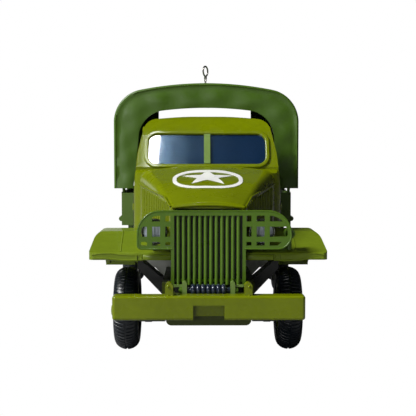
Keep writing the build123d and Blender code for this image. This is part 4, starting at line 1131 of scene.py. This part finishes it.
EYE_RADIUS = 1.36
EYE_TURN = math.radians(28)
EYE_BENDS = 32
EYE_ANGLES = (-160, 320)  # start and sweep, in degrees from the top
TWIST_BENDS = 18
TWIST_TURNS = 1.4
TWIST_RADIUS = 0.2


def add_wire():
    """Eye bent from wire, its two ends twisted together down to the cover."""
    low, high = seen_box("hanging_loop")
    y = (low[1] + high[1]) / 2
    middle = high[2] - 1.6
    eye = []
    for bend in range(EYE_BENDS + 1):
        angle = math.radians(EYE_ANGLES[0] + EYE_ANGLES[1] * bend / EYE_BENDS)
        reach = EYE_RADIUS * math.sin(angle)
        z = middle + EYE_RADIUS * math.cos(angle)
        eye.append((reach * math.sin(EYE_TURN), y + reach * math.cos(EYE_TURN), z))
    wires = [rod(eye, 0.23, 10)]
    top = middle - 1.2
    for phase in (0, math.pi):
        strand = []
        for bend in range(TWIST_BENDS + 1):
            z = top - (top - low[2]) * bend / TWIST_BENDS
            angle = phase + EYE_TURN + math.tau * TWIST_TURNS * bend / TWIST_BENDS
            strand.append((TWIST_RADIUS * math.sin(angle), y + TWIST_RADIUS * math.cos(angle), z))
        wires.append(rod(strand, 0.21, 10))
    done(joined(wires), "twisted_wire_loop", "wire_metal", angle=60, replaces=("hanging_loop",))


# ---------------------------------------------------------------- fender lips and creases

FENDER_FRONT = seen_box("fenders")[0][1]
FENDER_RISE = (24.0 - 20.7) / 16.6  # of its top, for each millimetre back
LIP_LINE = ((21.5, 20.3), (19.8, 20.52), (17.9, 20.55), (16.4, 20.3), (15.0, 20.22), (12.3, 20.2))
HEM_LINE = ((21.4, 19.64), (19.0, 19.64), (17.3, 19.46), (16.0, 19.32), (14.0, 19.32), (12.1, 19.46))
CREASE_LINE = ((16.25, 0.6), (16.5, 5.0), (16.9, 14.0))
LIP_BEADS = (13.25, 12.35)


def add_fender_lips():
    """Rolled lip with its weld beads, the inner strip and the crease along each fender."""
    y = FENDER_FRONT
    lip = rod([(x, y + 0.1, z) for x, z in LIP_LINE], 0.16, 10)
    hem = rod([(x, y + 0.24, z) for x, z in HEM_LINE], 0.3, 12)
    beads = [rod([(x, y - 0.02, 19.3), (x, y - 0.02, 20.3)], 0.13, 8) for x in LIP_BEADS]
    strip = round_edges(box((6.9, y - 0.3, 19.3), (12.1, y + 0.3, 20.36)), 0.16)
    crease = rod([(x, y + back, 20.66 + FENDER_RISE * back) for x, back in CREASE_LINE], 0.14, 8)
    done(both(joined([lip, hem, strip, crease] + beads)), "fender_lips", "fender_paint", angle=60)


add_hood_seams()
add_louvres()
add_cowl()
add_doors()
add_inside()
add_bumper_details()
add_winch()
add_guard_beads()
add_lamps()
add_board_ribs()
add_chassis_details()
add_bed_details()
add_tanks()
add_wire()
add_fender_lips()


# ---------------------------------------------------------------- camera, lights and floor

FRAME_PIXELS = 416
FOCAL_PIXELS = 900
SENSOR_MM = 36.0
BUMPER_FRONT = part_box("bumper")[0][1]
CAMERA_AHEAD = 155.4 * MM
CAMERA_HEIGHT = 39.8 * MM
CAMERA_SIDE = -1.5 * MM
CAMERA_PITCH = math.radians(3.74)
CAMERA_YAW = math.radians(0.5)


def add_camera():
    """Camera ahead of the truck, turned a little down and aside."""
    bpy.ops.object.select_all(action="DESELECT")
    bpy.ops.object.camera_add(
        location=(CAMERA_SIDE, BUMPER_FRONT - CAMERA_AHEAD, CAMERA_HEIGHT),
        rotation=(math.pi / 2 - CAMERA_PITCH, 0, -CAMERA_YAW),
    )
    camera = bpy.context.object
    camera.data.sensor_width = SENSOR_MM
    camera.data.lens = FOCAL_PIXELS / FRAME_PIXELS * SENSOR_MM
    camera.data.clip_start = 0.005
    camera.data.clip_end = 20
    bpy.context.scene.camera = camera


def add_lamp(name, place, target, size, watts):
    """A soft rectangular lamp at place, in metres, that points at target."""
    bpy.ops.object.light_add(type="AREA", location=place)
    lamp = bpy.context.object
    lamp.name = name
    lamp.data.shape = "RECTANGLE"
    lamp.data.size, lamp.data.size_y = size
    lamp.data.energy = watts
    lamp.visible_camera = False
    aim = Vector(target) - Vector(place)
    lamp.rotation_euler = aim.to_track_quat("-Z", "Y").to_euler()


def add_floor():
    """Pale floor that the camera sees as plain white."""
    bpy.ops.mesh.primitive_plane_add(size=8.0, location=(0, 0, 0))
    floor = bpy.context.object
    floor.name = "floor"
    material = bpy.data.materials.new("pale_floor")
    material.use_nodes = True
    tree = material.node_tree
    shader = tree.nodes["Principled BSDF"]
    shader.inputs["Base Color"].default_value = (0.3, 0.3, 0.3, 1)
    shader.inputs["Roughness"].default_value = 0.9
    glow = tree.nodes.new("ShaderNodeEmission")
    glow.inputs["Strength"].default_value = 1.0
    path = tree.nodes.new("ShaderNodeLightPath")
    blend = tree.nodes.new("ShaderNodeMixShader")
    tree.links.new(path.outputs["Is Camera Ray"], blend.inputs[0])
    tree.links.new(shader.outputs[0], blend.inputs[1])
    tree.links.new(glow.outputs[0], blend.inputs[2])
    tree.links.new(blend.outputs[0], tree.nodes["Material Output"].inputs["Surface"])
    floor.data.materials.append(material)


def add_world():
    """White to the camera and a softer grey to everything that it lights."""
    world = bpy.data.worlds.new("studio")
    bpy.context.scene.world = world
    world.use_nodes = True
    tree = world.node_tree
    tree.nodes.clear()
    light = tree.nodes.new("ShaderNodeBackground")
    light.inputs["Strength"].default_value = 0.02
    seen = tree.nodes.new("ShaderNodeBackground")
    seen.inputs["Color"].default_value = (1, 1, 1, 1)
    seen.inputs["Strength"].default_value = 1.0
    path = tree.nodes.new("ShaderNodeLightPath")
    blend = tree.nodes.new("ShaderNodeMixShader")
    out = tree.nodes.new("ShaderNodeOutputWorld")
    tree.links.new(path.outputs["Is Camera Ray"], blend.inputs[0])
    tree.links.new(light.outputs[0], blend.inputs[1])
    tree.links.new(seen.outputs[0], blend.inputs[2])
    tree.links.new(blend.outputs[0], out.inputs["Surface"])


add_camera()
add_world()
add_floor()
MIDDLE = (0, 0, 0.03)
add_lamp("key", (-0.64, -0.32, 0.72), MIDDLE, (0.22, 0.34), 14.5)
add_lamp("upper", (-0.0555, -0.49, 0.75), MIDDLE, (0.012, 0.16), 0.3)
add_lamp("front", (-0.4, -0.9, 0.14), MIDDLE, (0.3, 0.2), 1.6)
add_lamp("rear_strip", (-0.35, 1.0, 0.17), MIDDLE, (0.9, 0.22), 0.45)
bpy.context.scene.view_settings.view_transform = "Standard"
